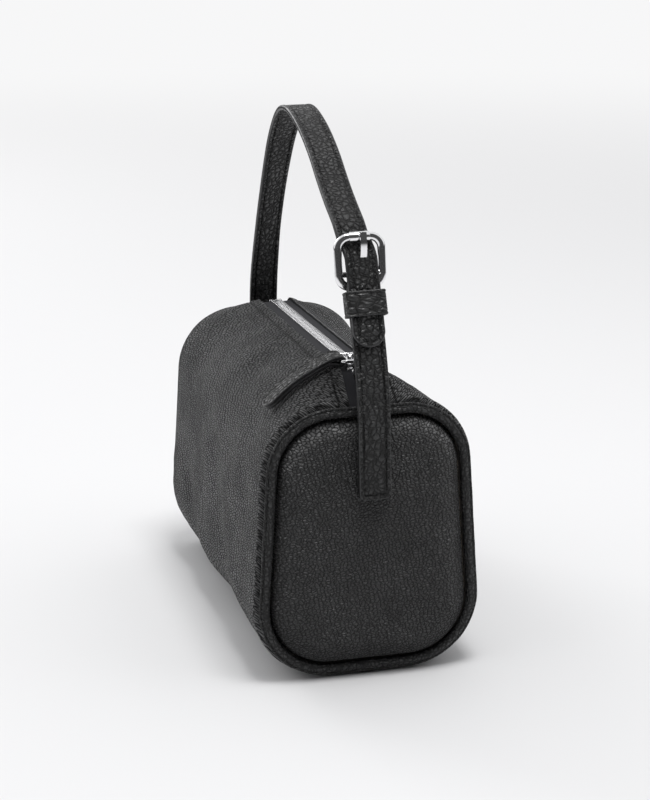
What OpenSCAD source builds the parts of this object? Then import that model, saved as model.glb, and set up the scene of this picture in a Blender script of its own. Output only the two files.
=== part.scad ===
// Small box-shaped leather bag with a top zip and a buckled shoulder strap.
// X runs along the bag with the buckle end at +X, the front is at -Y, and the ground is Z = 0.

/* [Body] */
// Distance between the two end seams
body_length = 200; // [180:5:240]
// Half width of the end panel at its top corners
end_half_top = 43.2; // [40:0.1:46]
// Half width of the end panel at its bottom corners
end_half_bottom = 47.3; // [45:0.1:50]
// Height of the end panel inside the piping
end_height = 118.4; // [112:0.1:124]
// Radius of the end panel's top corners
corner_r_top = 26; // [24:0.5:28]
// Radius of the end panel's bottom corners
corner_r_bottom = 28.6; // [26:0.1:30]
// How far the end panel bulges beyond its seam
end_puff = 6.8; // [5:0.1:8]
// How far the zip stands above the end seams
crown_height = 12; // [10:0.5:14]
// Rise of the top from the plain end to the buckle end, per millimetre
crown_slope = 0.036; // [0:0.001:0.05]
// Distance of each leather lip from the zip's centre line
lip_y = 8.5; // [7:0.1:10]
// How far the back shoulder has slumped between the ends, from 0 (full) to 1 (flat)
slump_back = 1; // [0:0.05:1]
// How far the front shoulder has slumped between the ends, from 0 (full) to 1 (flat)
slump_front = 0.25; // [0:0.05:1]

/* [Leather] */
// Thickness of the body leather
leather_t = 1.6; // [1.2:0.1:2]
// Thickness of the lining cloth
lining_t = 0.8; // [0.6:0.1:1]
// Diameter of the piping round each end
piping_d = 5.2; // [4.4:0.1:5.6]
// Diameter of the cord inside the piping
piping_cord_d = 3.2; // [2.4:0.1:3.4]

/* [Zip] */
// Distance between teeth on one side
tooth_pitch = 2.6; // [2.4:0.1:3]
// Thickness of a tooth through the tape
tooth_h = 3; // [2.6:0.1:3.2]
// Place of the slider's centre when the bag is shut
slider_x = 73; // [60:1:74]
// Length of the leather pull from its ring bar
pull_length = 42; // [30:1:46]
// Width of the leather pull
pull_w = 12; // [10:0.5:12]

/* [Strap] */
// Width of the strap
strap_w = 15; // [13:0.5:15.5]
// Thickness of the long strap
strap_t = 2.4; // [2:0.1:2.4]
// Thickness of one layer of the buckle strap, which is folded double
chape_layer_t = 1.1; // [0.9:0.1:1.1]
// Height of the axis about which the strap swings
strap_pivot_z = 119; // [118:0.5:122]
// Sideways lean of the standing strap, in degrees
strap_lean = 1.1; // [0:0.1:3]

/* [Buckle] */
// Width of the buckle over its side bars
buckle_w = 24; // [23:0.5:26]
// Width of the buckle's outer bars
buckle_bar_w = 3.8; // [3:0.1:4]
// Depth of the buckle's outer bars
buckle_bar_t = 2.8; // [2.4:0.1:2.8]
// Distance from the centre bar to the roller bar
buckle_reach = 16.6; // [16:0.1:17.5]
// Distance from the centre bar to the lower bar
buckle_tail = 5.6; // [5.4:0.1:6]
// Outer diameter of the roller
roller_d = 4.8; // [4.4:0.1:5]
// Lean of the buckle from upright, in degrees
buckle_lean = 5.5; // [5:0.5:6]
// Distance of the prong from the middle of its bar
prong_y = 1; // [0:0.1:1.5]

/* [Hidden] */
$fn = 32;
seam_x = body_length / 2;

// Radial build at the end seam, measured outward from the end panel's outline
ground_gap = 1.5;
body_off = piping_d + ground_gap;
end_base = body_off;
arc_steps = 8;
lining_arc_steps = 4;

// Places along the body's shoulder, from 0 at the lip to 1 at the top of the side
arc_from = 0.15;
tape_to = 0.075;
lining_from = 0.1;
lining_gap = 0.5;
slump_run = 34;
slump_bow = 1.5;

// Corner arcs of the end outline on the +Y side, as [y, z]
corner_top = [end_half_top - corner_r_top, end_base + end_height - corner_r_top];
corner_bottom = [end_half_bottom - corner_r_bottom, end_base + corner_r_bottom];
corner_gap = corner_top - corner_bottom;
side_lean = atan(-corner_gap[0] / corner_gap[1]) + asin((corner_r_bottom - corner_r_top) / norm(corner_gap));

// Distances from the end seam at which the body's cross-section is drawn
seam_steps = [2.5, 3.3, 5, 8, 11, 14, 17, 20, 28, 38, 64];
roll_in = 1.4;
roll_start = 2.5;
roll_run = 3.5;
crown_start = 2;
crown_run = 18;
crown_half = 46;
crown_power = 1.3;

// Zip
tape_t = 0.7;
tape_gap = 0.2;
tape_drop = 0.15;
tape_y = 1.4;
tape_y_open = 3;
tooth_t = 1.15;
chain_start = -77;
chain_end = slider_x - 2;
slider_l = 10.5;
slider_w = 8.6;
slider_gap = 0.25;
slider_plate_t = 1.1;
ring_wire_d = 1.8;
ring_reach = 7;
ring_half = 7.2;
ring_lift = 4.5;
pull_layer_t = 1.35;

// Strap
tab_bottom_z = 88;
end_r = strap_w / 2 + 0.7;
tab_top_z = strap_pivot_z - end_r - 0.3;
leg_foot_z = strap_pivot_z - end_r - 1;
tab_x = seam_x + end_puff;
leg_x = tab_x + 0.6;
leg_lean = 19.5;
fit_gap = 0.1;
centre_bar_d = 2.6;
roller_bar_d = 3;
roller_l = 9.4;
corner_bend_r = 5.3;
prong_w = 3;
prong_t = 1.6;
prong_eye_r = 2.25;
keeper_t = 1.4;
keeper_h = 11.5;
keeper_at = 18.3;
keeper_play = 0.6;
backing_edge = 3.5;
prong_slot = prong_w + 1.2;

// Leaning stretch of the buckle end, as [x, z]: the billet's outer face and its directions
billet_face = [leg_x - 1.8, 160];
leg_up = [-sin(leg_lean), cos(leg_lean)];
leg_out = [cos(leg_lean), sin(leg_lean)];
chape_face = -strap_t;
chape_t = 2 * chape_layer_t;
wrap_r = centre_bar_d / 2 + fit_gap + chape_layer_t;
centre_bar_at = 32.2;
centre_bar = billet_face + centre_bar_at * leg_up + (chape_face - wrap_r) * leg_out;

// The buckle strap's centre line from the pivot to the straight stretch, as [x, z]
chape_route = [[108.5, leg_foot_z], [108.5, 119], [108.4, 128], [107.4, 138], [105.4, 148]];
chape_start = 0;

// The long strap's centre line from the roller over the top to the far pivot, as [x, z]
arch_route = [
    [91.5, 196.1], [88.1, 200.2], [84, 204.2], [79, 209.2], [65, 216.6], [48.5, 225.2], [32, 234], [6, 244.4],
    [-15, 248.6], [-33, 244.6], [-52, 229.5], [-68, 210], [-81, 191], [-91.5, 173], [-99, 157],
    [-104, 144], [-107.4, 130], [-108.4, 119], [-108.4, leg_foot_z]
];

// Shared functions and modules

function reverse(list) = [for (i = [len(list) - 1:-1:0]) list[i]];

function arc(centre, r, from, to, steps) =
    [for (i = [0:steps]) let (a = from + (to - from) * i / steps) centre + r * [cos(a), sin(a)]];

// Half of the end outline from top to bottom, grown outward, as [y, z]
function half_rim(off, steps) = concat(
    arc(corner_top, corner_r_top + off, 90, side_lean, steps),
    arc(corner_bottom, corner_r_bottom + off, side_lean, -90, steps));

function full_rim(off, steps) =
    let (half = half_rim(off, steps)) concat(half, [for (p = reverse(half)) [-p[0], p[1]]]);

// Smooth step from 0 at the end seam to 1 on the level top
function crown_share(x) =
    let (a = min(1, max(0, (seam_x - crown_start - abs(x)) / crown_run))) a * a * (3 - 2 * a);

// Height that the top gains over the end outline at a place
function crown_rise(x, y) =
    (crown_height + crown_slope * x) * crown_share(x) * pow(max(0, 1 - abs(y) / crown_half), crown_power);

// The body leather tucks in towards the piping just before the seam
function body_tuck(x) =
    let (a = max(0, 1 - (seam_x - abs(x) - roll_start) / roll_run)) roll_in * a * a;

// Share of the slump at a place along the bag, from 0 at the seams to 1 in the middle
function slump_share(x) =
    let (a = min(1, max(0, (seam_x - crown_start - abs(x)) / slump_run))) a * a * (3 - 2 * a);

// Top of the side for a given growth, where the shoulder ends, as [y, z]
function side_top(grown) = corner_top + (corner_r_top + grown) * [cos(side_lean), sin(side_lean)];

// Lip edge for a given growth, as [y, z]
function lip_point(x, grown) = [lip_y, corner_top[1] + corner_r_top + grown + crown_rise(x, lip_y)];

// A point of the full, round shoulder at share t of its length, as [y, z]
function full_shoulder(x, grown, t) =
    let (r = corner_r_top + grown, a = 90 - (90 - side_lean) * max(0, t - arc_from) / (1 - arc_from),
        y = t < arc_from ? lip_y + (corner_top[0] - lip_y) * t / arc_from : corner_top[0] + r * cos(a),
        z = corner_top[1] + (t < arc_from ? r : r * sin(a)))
    [y, z + crown_rise(x, y)];

// The same point when the leather hangs slack between the lip and the side
function slack_shoulder(x, grown, t) =
    let (from = lip_point(x, grown), to = side_top(grown), way = to - from)
    from + t * way + slump_bow * sin(180 * t) * [-way[1], way[0]] / norm(way);

function shoulder(x, grown, t, slump) =
    let (k = slump * slump_share(x)) (1 - k) * full_shoulder(x, grown, t) + k * slack_shoulder(x, grown, t);

function shoulder_steps(from, steps) =
    concat(from < tape_to ? [from, tape_to] : [from], [for (i = [0:steps]) arc_from + (1 - arc_from) * i / steps]);

// One side of the body's cross-section from the zip to the middle of the base, as [y, z]
function body_line(x, off, from, steps, slump) =
    let (grown = off - body_tuck(x))
    concat([for (t = shoulder_steps(from, steps)) shoulder(x, grown, t, slump)],
        arc(corner_bottom, corner_r_bottom + grown, side_lean, -90, steps),
        [[0, corner_bottom[1] - corner_r_bottom - grown]]);

function stations() = concat([for (d = seam_steps) d - seam_x], [0], reverse([for (d = seam_steps) seam_x - d]));

function wall_ring(x, off_out, off_in, from, steps, slump) =
    [for (p = concat(body_line(x, off_out, from, steps, slump), reverse(body_line(x, off_in, from, steps, slump))))
        [x, p[0], p[1]]];

// Two triangles for the four-sided face a, b, c, d
function split_face(a, b, c, d) = [[a, b, c], [a, c, d]];

// Triangles between neighbouring rings of n points each, from ring number k on
function band(k, next, n) =
    [for (i = [0:n - 1]) let (j = (i + 1) % n) each split_face(k * n + i, k * n + j, next * n + j, next * n + i)];

// Closed wall through a row of rings that each run out along one face and back along the other
module skin(rings) {
    n = len(rings[0]);
    end = (len(rings) - 1) * n;
    polyhedron(
        points = [for (ring = rings) each ring],
        faces = concat(
            [for (i = [0:n / 2 - 2]) each split_face(i, n - 1 - i, n - 2 - i, i + 1)],
            [for (k = [0:len(rings) - 2]) each band(k, k + 1, n)],
            [for (i = [0:n / 2 - 2]) each split_face(end + i, end + i + 1, end + n - 2 - i, end + n - 1 - i)]));
}

// Outline rings for a list of [offset, x]
function rim_rings(list, steps) = [for (r = list) [for (p = full_rim(r[0], steps)) [r[1], p[0], p[1]]]];

// Solid loop that follows the end outline, for a cross-section given as [offset, x] points
module hoop(section, steps) {
    rings = rim_rings(section, steps);
    n = len(rings[0]);
    polyhedron(
        points = [for (ring = rings) each ring],
        faces = [for (k = [0:len(rings) - 1]) each band(k, (k + 1) % len(rings), n)]);
}

// Solid through a row of outline rings with flat ends
module plug(list, steps) {
    rings = rim_rings(list, steps);
    n = len(rings[0]);
    last = len(rings) - 1;
    polyhedron(
        points = [for (ring = rings) each ring],
        faces = concat(
            [[for (i = [0:n - 1]) i]],
            [for (k = [0:last - 1]) each band(k + 1, k, n)],
            [[for (i = [0:n - 1]) last * n + n - 1 - i]]));
}

// Cup with an outer and an inner skin, each a row of outline rings; the last outer and first inner ones are its floor
module cup(outer, inner, steps) {
    rings = rim_rings(concat(outer, inner), steps);
    n = len(rings[0]);
    split = len(outer);
    last = len(rings) - 1;
    polyhedron(
        points = [for (ring = rings) each ring],
        faces = concat(
            [for (k = [0:last]) if (k != split - 1) each band((k + 1) % (last + 1), k, n)],
            [[for (i = [0:n - 1]) split * n - 1 - i]],
            [[for (i = [0:n - 1]) split * n + i]]));
}

// Places a shape drawn in the plane of the end panel, as (y, z), at the right-hand end
module on_end(x) {
    translate([x, 0, 0]) rotate([90, 0, 90]) children();
}

module left_end() {
    mirror([1, 0, 0]) children();
}

// Places a shape drawn in the plane of the strap's side view, as (x, z), across its width
module across(width) {
    rotate([90, 0, 0]) linear_extrude(width, center = true) children();
}

// Moves the strap and all that it carries to its standing lean
module leaning() {
    translate([0, 0, strap_pivot_z]) rotate([strap_lean, 0, 0]) translate([0, 0, -strap_pivot_z]) children();
}

// Places a shape at a point of the zip, level with the middle of the tape
zip_z = corner_top[1] + corner_r_top + body_off - leather_t - tape_gap - tape_t / 2 + crown_rise(0, lip_y);
zip_tilt = atan((crown_rise(40, lip_y) - crown_rise(0, lip_y)) / 40);
module on_zip(x) {
    translate([0, 0, zip_z]) rotate([0, -zip_tilt, 0]) translate([x, 0, 0]) children();
}

// Places a shape in the buckle's own axes: up along the buckle, across it, and out of its face
module on_buckle() {
    translate([centre_bar[0], 0, centre_bar[1]]) rotate([0, -buckle_lean, 0]) children();
}

// Point on a smooth curve through four points, at share t between the middle two
function spline_point(a, b, c, d, t) =
    0.5 * (2 * b + (c - a) * t + (2 * a - 5 * b + 4 * c - d) * t * t + (3 * b - a - 3 * c + d) * t * t * t);

function smooth(route, steps) =
    let (n = len(route), ends = concat([2 * route[0] - route[1]], route, [2 * route[n - 1] - route[n - 2]]))
    concat([for (i = [1:n - 1]) for (k = [0:steps - 1])
        spline_point(ends[i - 1], ends[i], ends[i + 1], ends[i + 2], k / steps)], [route[n - 1]]);

function side_step(route, i) =
    let (a = route[max(0, i - 1)], b = route[min(len(route) - 1, i + 1)], d = (b - a) / norm(b - a)) [-d[1], d[0]];

// Outline of a strip of even thickness along a route
function strip(route, t) = concat(
    [for (i = [0:len(route) - 1]) route[i] + side_step(route, i) * t / 2],
    [for (i = [len(route) - 1:-1:0]) route[i] - side_step(route, i) * t / 2]);

// A point of the leaning stretch, so far up it and so far out of the billet's face
function leg_point(up, out) = billet_face + up * leg_up + out * leg_out;

// Body shell

module body_side(off_out, off_in, from, steps, slump) {
    skin([for (x = stations()) wall_ring(x, off_out, off_in, from, steps, slump)]);
}

module body_panel(slump) body_side(body_off, body_off - leather_t, 0, arc_steps, slump);

module back_panel() color("#2b2c2e") body_panel(slump_back);

module front_panel() color("#2b2c2e") mirror([0, 1, 0]) body_panel(slump_front);

module body_lining() color("#4a4744") {
    lining_off = body_off - leather_t - lining_gap;
    body_side(lining_off, lining_off - lining_t, lining_from, lining_arc_steps, slump_back);
    mirror([0, 1, 0]) body_side(lining_off, lining_off - lining_t, lining_from, lining_arc_steps, slump_front);
}

board_t = 1.5;
base_board_t = 1.8;
board_x = seam_x - 3.5;
board_inset = 0.4;
lining_seam = 2;
panel_edge = 0.2;
panel_t = 1.2;

// Bulge of the end panel, as [inset from the seam, share of the full bulge]
puff_profile = [[0, 0.06], [1.2, 0.28], [3, 0.5], [6, 0.74], [10, 0.93], [14, 1], [22, 1]];

function puff_rings(inset, sink) =
    [for (p = puff_profile) [-(p[0] + inset), seam_x + end_puff * p[1] - sink]];

module end_panel() color("#232426") {
    outer = concat([[-panel_edge, board_x + board_t]], puff_rings(panel_edge, 0));
    inner = concat([[-panel_edge - panel_t, board_x + board_t]], puff_rings(panel_edge + panel_t, panel_t));
    cup(outer, reverse(inner), arc_steps);
}

module end_foam() color("#d9d4c8") {
    foam_gap = 0.3;
    foam_sink = 0.2;
    inset = panel_edge + panel_t + foam_gap;
    plug(concat([[-inset, board_x + board_t + 0.01]], puff_rings(inset, panel_t + foam_sink)), lining_arc_steps);
}

module end_plate(x, t, off) {
    on_end(x) linear_extrude(t) polygon(full_rim(off, arc_steps));
}

module end_board() color("#8d7a5e") end_plate(board_x, board_t, -board_inset);

module end_lining() color("#4a4744") end_plate(board_x - 2 * lining_t, lining_t, lining_seam);

// Points of an arc in the piping's cross-section, as [offset, x]
function piping_arc(r, from, to, steps) = arc([piping_d / 2, seam_x], r, from, to, steps);

// Piping leather wraps its cord and is open towards the inside of the bag, where its edges are sewn in
module piping() color("#252628") {
    slit = 20;
    hoop(concat(piping_arc(piping_d / 2, slit - 90, 270 - slit, 10),
        piping_arc(piping_cord_d / 2, 270 - slit, slit - 90, 8)), arc_steps);
}

module piping_cord() color("#e4e0d6") hoop(piping_arc(piping_cord_d / 2 - fit_gap, -90, 225, 7), arc_steps);

module base_board() color("#8d7a5e") {
    end_play = 1;
    rest_gap = 0.1;
    lift = body_off - leather_t - lining_gap - lining_t;
    length = 2 * (board_x - 2 * lining_t - end_play);
    translate([-length / 2, -corner_bottom[0], corner_bottom[1] - corner_r_bottom - lift + rest_gap])
        cube([length, 2 * corner_bottom[0], base_board_t]);
}

// Zip

function tape_edge(x) = tape_y + (tape_y_open - tape_y) * min(1, max(0, (x - slider_x + 1) / 5));

function tape_ring(x, slump) =
    let (grown = body_off - leather_t - tape_gap - body_tuck(x), lip = shoulder(x, grown, 0, slump),
        top = [[tape_edge(x), lip[1]], lip, shoulder(x, grown - tape_drop, tape_to, slump)])
    [for (p = concat(top, reverse([for (q = top) q - [0, tape_t]]))) [x, p[0], p[1]]];

function tape_stations() =
    concat([for (x = stations()) if (x < slider_x - 2) x], [slider_x - 1, slider_x + 4],
        [for (x = stations()) if (x > slider_x + 5) x]);

module zip_tape(slump) skin([for (x = tape_stations()) tape_ring(x, slump)]);

module zip_tape_back() color("#1b1b1d") zip_tape(slump_back);

module zip_tape_front() color("#1b1b1d") mirror([0, 1, 0]) zip_tape(slump_front);

// One tooth of the back row: legs that grip the tape, a head, and a nub with its socket
module tooth() {
    leg_l = 1.9;
    head_y = 0.95;
    head_cut = 0.4;
    head_chamfer = 0.25;
    head_drop = 0.3;
    nub_r = 0.38;
    nub_l = 0.3;
    socket_play = 0.1;
    difference() {
        union() {
            translate([-tooth_t / 2, tape_y - 0.4, -tooth_h / 2]) cube([tooth_t, leg_l, tooth_h]);
            translate([0, 0, head_drop - tooth_h / 2]) linear_extrude(tooth_h - 2 * head_drop) polygon([
                [-tooth_t / 2, tape_y - head_drop], [-tooth_t / 2, head_cut - head_y],
                [head_chamfer - tooth_t / 2, -head_y], [tooth_t / 2 - head_chamfer, -head_y],
                [tooth_t / 2, head_cut - head_y], [tooth_t / 2, tape_y - head_drop]]);
            translate([tooth_t / 2 - 0.1, 0, 0]) rotate([0, 90, 0]) cylinder(r = nub_r, h = nub_l + 0.1, $fn = 16);
        }
        translate([-tooth_t / 2 - 0.1, 0, 0]) rotate([0, 90, 0])
            cylinder(r = nub_r + socket_play, h = nub_l + 2 * socket_play, $fn = 16);
        translate([-tooth_t, tape_y, -tape_t / 2]) cube([2 * tooth_t, leg_l, tape_t]);
    }
}

module tooth_row(first) {
    for (x = [first:tooth_pitch:chain_end]) on_zip(x) tooth();
}

module zip_teeth_back() color("#d8d8d6") tooth_row(chain_start);

module zip_teeth_front() color("#d8d8d6") mirror([0, 1, 0]) tooth_row(chain_start + tooth_pitch / 2);

module zip_stops() color("#d8d8d6") {
    bar_l = 2;
    bar_w = 6.4;
    bar_from = chain_start - 3.4;
    stop_l = 1.6;
    stop_w = 2.6;
    stop_from = slider_x + slider_l / 2 + 1;
    slot_h = tape_t + 0.5;
    slot_low = -tape_t / 2 - 0.4;
    on_zip(bar_from) difference() {
        translate([0, -bar_w / 2, -tooth_h / 2]) cube([bar_l, bar_w, tooth_h]);
        for (side = [0, 1]) mirror([0, side, 0]) translate([-1, tape_y, slot_low]) cube([bar_l + 2, bar_w, slot_h]);
    }
    for (side = [0, 1]) on_zip(stop_from) mirror([0, side, 0]) difference() {
        translate([0, tape_y_open - 0.9, -tooth_h / 2]) cube([stop_l, stop_w, tooth_h]);
        translate([-1, tape_y_open - 0.2, slot_low]) cube([stop_l + 2, stop_w, slot_h]);
    }
}

module zip_slider() color("#e3e4e6") on_zip(slider_x) {
    inner_h = tooth_h / 2 + slider_gap;
    flange_t = 0.7;
    flange_from = 1.2;
    flange_h = inner_h - tape_t / 2 - slider_gap;
    wedge_from = 0.4;
    waist = 1.1;
    tail_l = 1;
    nose_l = 3;
    nose_cut = 0.6;
    wedge_half = 1.3;
    crown_l = 4;
    crown_w = 4.4;
    side = [[-slider_l / 2, slider_w / 2 - waist], [tail_l - slider_l / 2, (slider_w - waist) / 2],
        [slider_l / 2 - nose_l, slider_w / 2], [slider_l / 2, slider_w / 2 - nose_cut]];
    outline = concat([for (p = side) [p[0], -p[1]]], reverse(side));
    for (face = [0, 1]) mirror([0, 0, face]) {
        translate([0, 0, inner_h]) linear_extrude(slider_plate_t) polygon(outline);
        for (edge = [0, 1]) mirror([0, edge, 0])
            translate([flange_from - slider_l / 2, (slider_w - waist) / 2 - flange_t - 0.05, inner_h - flange_h])
                cube([slider_l - 2 * flange_from, flange_t, flange_h + 0.1]);
    }
    translate([0, 0, -inner_h - 0.1]) linear_extrude(2 * inner_h + 0.2) polygon([[wedge_from, 0],
        [slider_l / 2 - nose_cut, -wedge_half], [slider_l / 2 - 0.2, 0], [slider_l / 2 - nose_cut, wedge_half]]);
    translate([0, 0, inner_h + slider_plate_t]) difference() {
        union() {
            translate([-crown_l / 2, -crown_w / 2, -0.2]) cube([crown_l, crown_w, crown_top() + 0.2]);
            translate([-crown_l / 2, 0, crown_top()]) rotate([0, 90, 0]) cylinder(d = crown_w, h = crown_l);
        }
        translate([-crown_l, 0, crown_top()]) rotate([0, 90, 0])
            cylinder(r = ring_wire_d / 2 + fit_gap, h = 2 * crown_l);
    }
}

// Height of the ring's bar above the slider's top plate
function crown_top() = ring_lift - tooth_h / 2 - slider_gap - slider_plate_t;

// Rectangular ring with rounded corners: one bar in the slider's crown, the other in the pull's fold
module pull_ring() color("#e3e4e6") on_zip(slider_x) translate([0, 0, ring_lift]) {
    bend_r = 1.6;
    for (side = [0, 1]) mirror([side, 0, 0]) {
        translate([ring_half, -bend_r, 0]) rotate([90, 0, 0]) cylinder(d = ring_wire_d, h = ring_reach - 2 * bend_r);
        for (y = [-bend_r, bend_r - ring_reach]) translate([ring_half - bend_r, y, 0])
            rotate_extrude(angle = 90, start = y == -bend_r ? 0 : -90) translate([bend_r, 0]) circle(d = ring_wire_d);
    }
    for (y = [0, -ring_reach]) translate([-ring_half + bend_r, y, 0]) rotate([0, 90, 0])
        cylinder(d = ring_wire_d, h = 2 * (ring_half - bend_r));
}

// Share of its length that the draped pull reaches forward
pull_forward = 0.84;

// The pull's centre line over the front shoulder, from the ring's bar, as [y, z]
pull_route = [[0, 0], [-5.5, -0.3], [-14, -4.2], [-24, -10.3], [-35, -19.9]];

module pull_tab() color("#2b2c2e") on_zip(slider_x) translate([0, -ring_reach, ring_lift]) {
    fold_r = ring_wire_d / 2 + fit_gap + pull_layer_t;
    tip_y = -pull_length * pull_forward;
    depth = 40;
    difference() {
        intersection() {
            union() {
                translate([-pull_w / 2, 0, 0]) rotate([90, 0, 90]) linear_extrude(pull_w)
                    polygon(strip(smooth(pull_route, 3), 2 * pull_layer_t));
                translate([-pull_w / 2, 0, 0]) rotate([0, 90, 0]) cylinder(r = fold_r, h = pull_w);
            }
            union() {
                translate([-pull_w / 2, tip_y + pull_w / 2, -depth]) cube([pull_w, pull_w - tip_y, 2 * depth]);
                translate([0, tip_y + pull_w / 2, -depth]) cylinder(d = pull_w, h = 2 * depth, $fn = 48);
            }
        }
        translate([-pull_w, 0, 0]) rotate([0, 90, 0]) cylinder(r = ring_wire_d / 2 + fit_gap, h = 2 * pull_w);
    }
}

// Strap

module strap_tab() color("#2b2c2e")
    translate([tab_x, -strap_w / 2, tab_bottom_z]) cube([strap_t, strap_w, tab_top_z - tab_bottom_z]);

module tab_backing() color("#8d7a5e")
    translate([board_x - lining_t, -strap_w / 2 - backing_edge, tab_bottom_z - backing_edge])
        cube([lining_t, strap_w + 2 * backing_edge, tab_top_z - tab_bottom_z + 2 * backing_edge]);

// Takes away what lies beyond a round end, for a strap end's centre as [x, z] and its lean
module round_end(at, lean) {
    translate([at[0], 0, at[1]]) rotate([0, 90 - lean, 0]) linear_extrude(4 * strap_t, center = true) difference() {
        translate([0, -strap_w]) square(2 * strap_w);
        circle(r = end_r, $fn = 64);
    }
}

// Buckle strap: runs up from the pivot, folds round the centre bar and is sewn to itself
module buckle_strap() color("#2b2c2e") leaning() difference() {
    straight = chape_face - chape_t / 2;
    back = chape_face - chape_t;
    fold_w = strap_w - 3;
    fold_from = centre_bar_at - 7.5;
    fold_turn = centre_bar_at - 3.9;
    slot_low = -2.9;
    slot_h = 8;
    union() {
        across(strap_w) polygon(strip(concat(smooth(chape_route, 3), [leg_point(chape_start, straight)],
            [leg_point(fold_from + 0.5, straight)]), chape_t));
        across(fold_w) polygon([
            leg_point(fold_from, chape_face), leg_point(centre_bar_at, chape_face),
            centre_bar - wrap_r * (0.6 * leg_out + 0.8 * leg_up), leg_point(fold_turn, back), leg_point(fold_from, back)]);
        across(fold_w) translate(centre_bar) circle(r = wrap_r);
    }
    round_end([leg_x + chape_t / 2, strap_pivot_z], 0);
    on_buckle() rotate([90, 0, 0]) cylinder(r = centre_bar_d / 2 + fit_gap, h = 2 * strap_w, center = true);
    on_buckle() translate([-wrap_r - 2, prong_y - prong_slot / 2, slot_low]) cube([2 * wrap_r + 4, prong_slot, slot_h]);
}

billet_tip = -1.5;
billet_route = [leg_point(billet_tip, -strap_t / 2), leg_point(centre_bar_at + 1.4, -strap_t / 2)];
hole_at = 6.7;
hole_out = 2.05;
hole_lean = 25;
hole_l = 11;

module long_strap() color("#2b2c2e") leaning() difference() {
    across(strap_w) polygon(strip(concat(billet_route, smooth(arch_route, 3)), strap_t));
    round_end(leg_point(billet_tip + end_r, -strap_t / 2), leg_lean);
    round_end([-leg_x - chape_t / 2, strap_pivot_z], 0);
    on_buckle() translate([hole_out, prong_y, hole_at]) rotate([0, -hole_lean, 0]) {
        cube([strap_w, prong_slot, hole_l - prong_slot], center = true);
        for (end = [-1, 1]) translate([0, 0, end * (hole_l - prong_slot) / 2])
            rotate([0, 90, 0]) cylinder(d = prong_slot, h = strap_w, center = true);
    }
}

module strap_keeper() color("#2b2c2e") leaning() {
    stack = strap_t + chape_t;
    middle = leg_point(keeper_at, -stack / 2);
    inner_w = strap_w + keeper_play + 0.2;
    inner_t = stack + keeper_play;
    translate([middle[0], 0, middle[1]]) rotate([0, -leg_lean, 0]) linear_extrude(keeper_h, center = true) difference() {
        square([inner_t + 2 * keeper_t, inner_w + 2 * keeper_t], center = true);
        square([inner_t, inner_w], center = true);
    }
}

// Buckle

// Cross-section of the buckle's outer bars, rounded at its narrow sides
module bar_section() {
    r = buckle_bar_t / 2;
    flat = [buckle_bar_w / 2 - r, 0];
    polygon(concat(arc(flat, r, -90, 90, 10), arc(-flat, r, 90, 270, 10)));
}

module buckle_frame() color("#e3e4e6") leaning() on_buckle() {
    half = (buckle_w - buckle_bar_w) / 2;
    top = buckle_reach - corner_bend_r;
    low = corner_bend_r - buckle_tail;
    for (side = [0, 1]) mirror([0, side, 0]) {
        translate([0, half, low]) rotate([0, 0, 90]) linear_extrude(top - low) bar_section();
        for (end = [[top, 0], [low, -90]]) translate([0, half - corner_bend_r, end[0]]) rotate([90, 0, 90])
            rotate_extrude(angle = 90, start = end[1]) translate([corner_bend_r, 0]) bar_section();
    }
    translate([0, 0, buckle_reach]) rotate([90, 0, 0])
        cylinder(d = roller_bar_d, h = 2 * (half - corner_bend_r) + 0.2, center = true);
    translate([0, 0, -buckle_tail]) rotate([90, 90, 0])
        linear_extrude(2 * (half - corner_bend_r) + 0.02, center = true) bar_section();
    rotate([90, 0, 0]) cylinder(d = centre_bar_d, h = 2 * half, center = true);
}

module buckle_roller() color("#eef0f2") leaning() on_buckle() translate([0, 0, buckle_reach]) rotate([90, 0, 0])
    difference() {
        cylinder(d = roller_d, h = roller_l, center = true);
        cylinder(d = roller_bar_d + fit_gap, h = 2 * roller_l, center = true);
    }

// Prong: an eye on the centre bar and a tongue that rests on the roller, as [out, up]
prong_route = [[0.6, 1.6], [0.8, 3.8], [1.7, 6.6], [3, 9.4], [3.7, 12.4], [3.85, 15], [3.8, 17], [3.6, 19]];

module buckle_prong() color("#e3e4e6") leaning() on_buckle() translate([0, prong_y, 0]) rotate([90, 0, 0])
    difference() {
        union() {
            cylinder(r = prong_eye_r, h = prong_w, center = true);
            linear_extrude(prong_w, center = true) polygon(strip(smooth(prong_route, 3), prong_t));
        }
        cylinder(r = centre_bar_d / 2 + fit_gap, h = 2 * prong_w, center = true);
    }

front_panel();
back_panel();
end_panel();  // end_panel_right
left_end() end_panel();  // end_panel_left
end_foam();  // end_foam_right
left_end() end_foam();  // end_foam_left
end_board();  // end_board_right
left_end() end_board();  // end_board_left
piping();  // piping_right
left_end() piping();  // piping_left
piping_cord();  // piping_cord_right
left_end() piping_cord();  // piping_cord_left
body_lining();
end_lining();  // end_lining_right
left_end() end_lining();  // end_lining_left
base_board();
zip_tape_back();
zip_tape_front();
zip_teeth_front();
zip_teeth_back();
zip_stops();
zip_slider();
pull_ring();
pull_tab();
strap_tab();  // strap_tab_right
left_end() strap_tab();  // strap_tab_left
tab_backing();  // tab_backing_right
left_end() tab_backing();  // tab_backing_left
buckle_strap();
long_strap();
strap_keeper();
buckle_frame();
buckle_roller();
buckle_prong();
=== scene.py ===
"""Leather, zip, strap and buckle of a small box-shaped bag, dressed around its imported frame."""

import math

import bmesh
import bpy
import numpy as np
from bpy.props import FloatProperty, FloatVectorProperty, IntProperty, PointerProperty
from mathutils import Matrix, Vector


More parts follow.
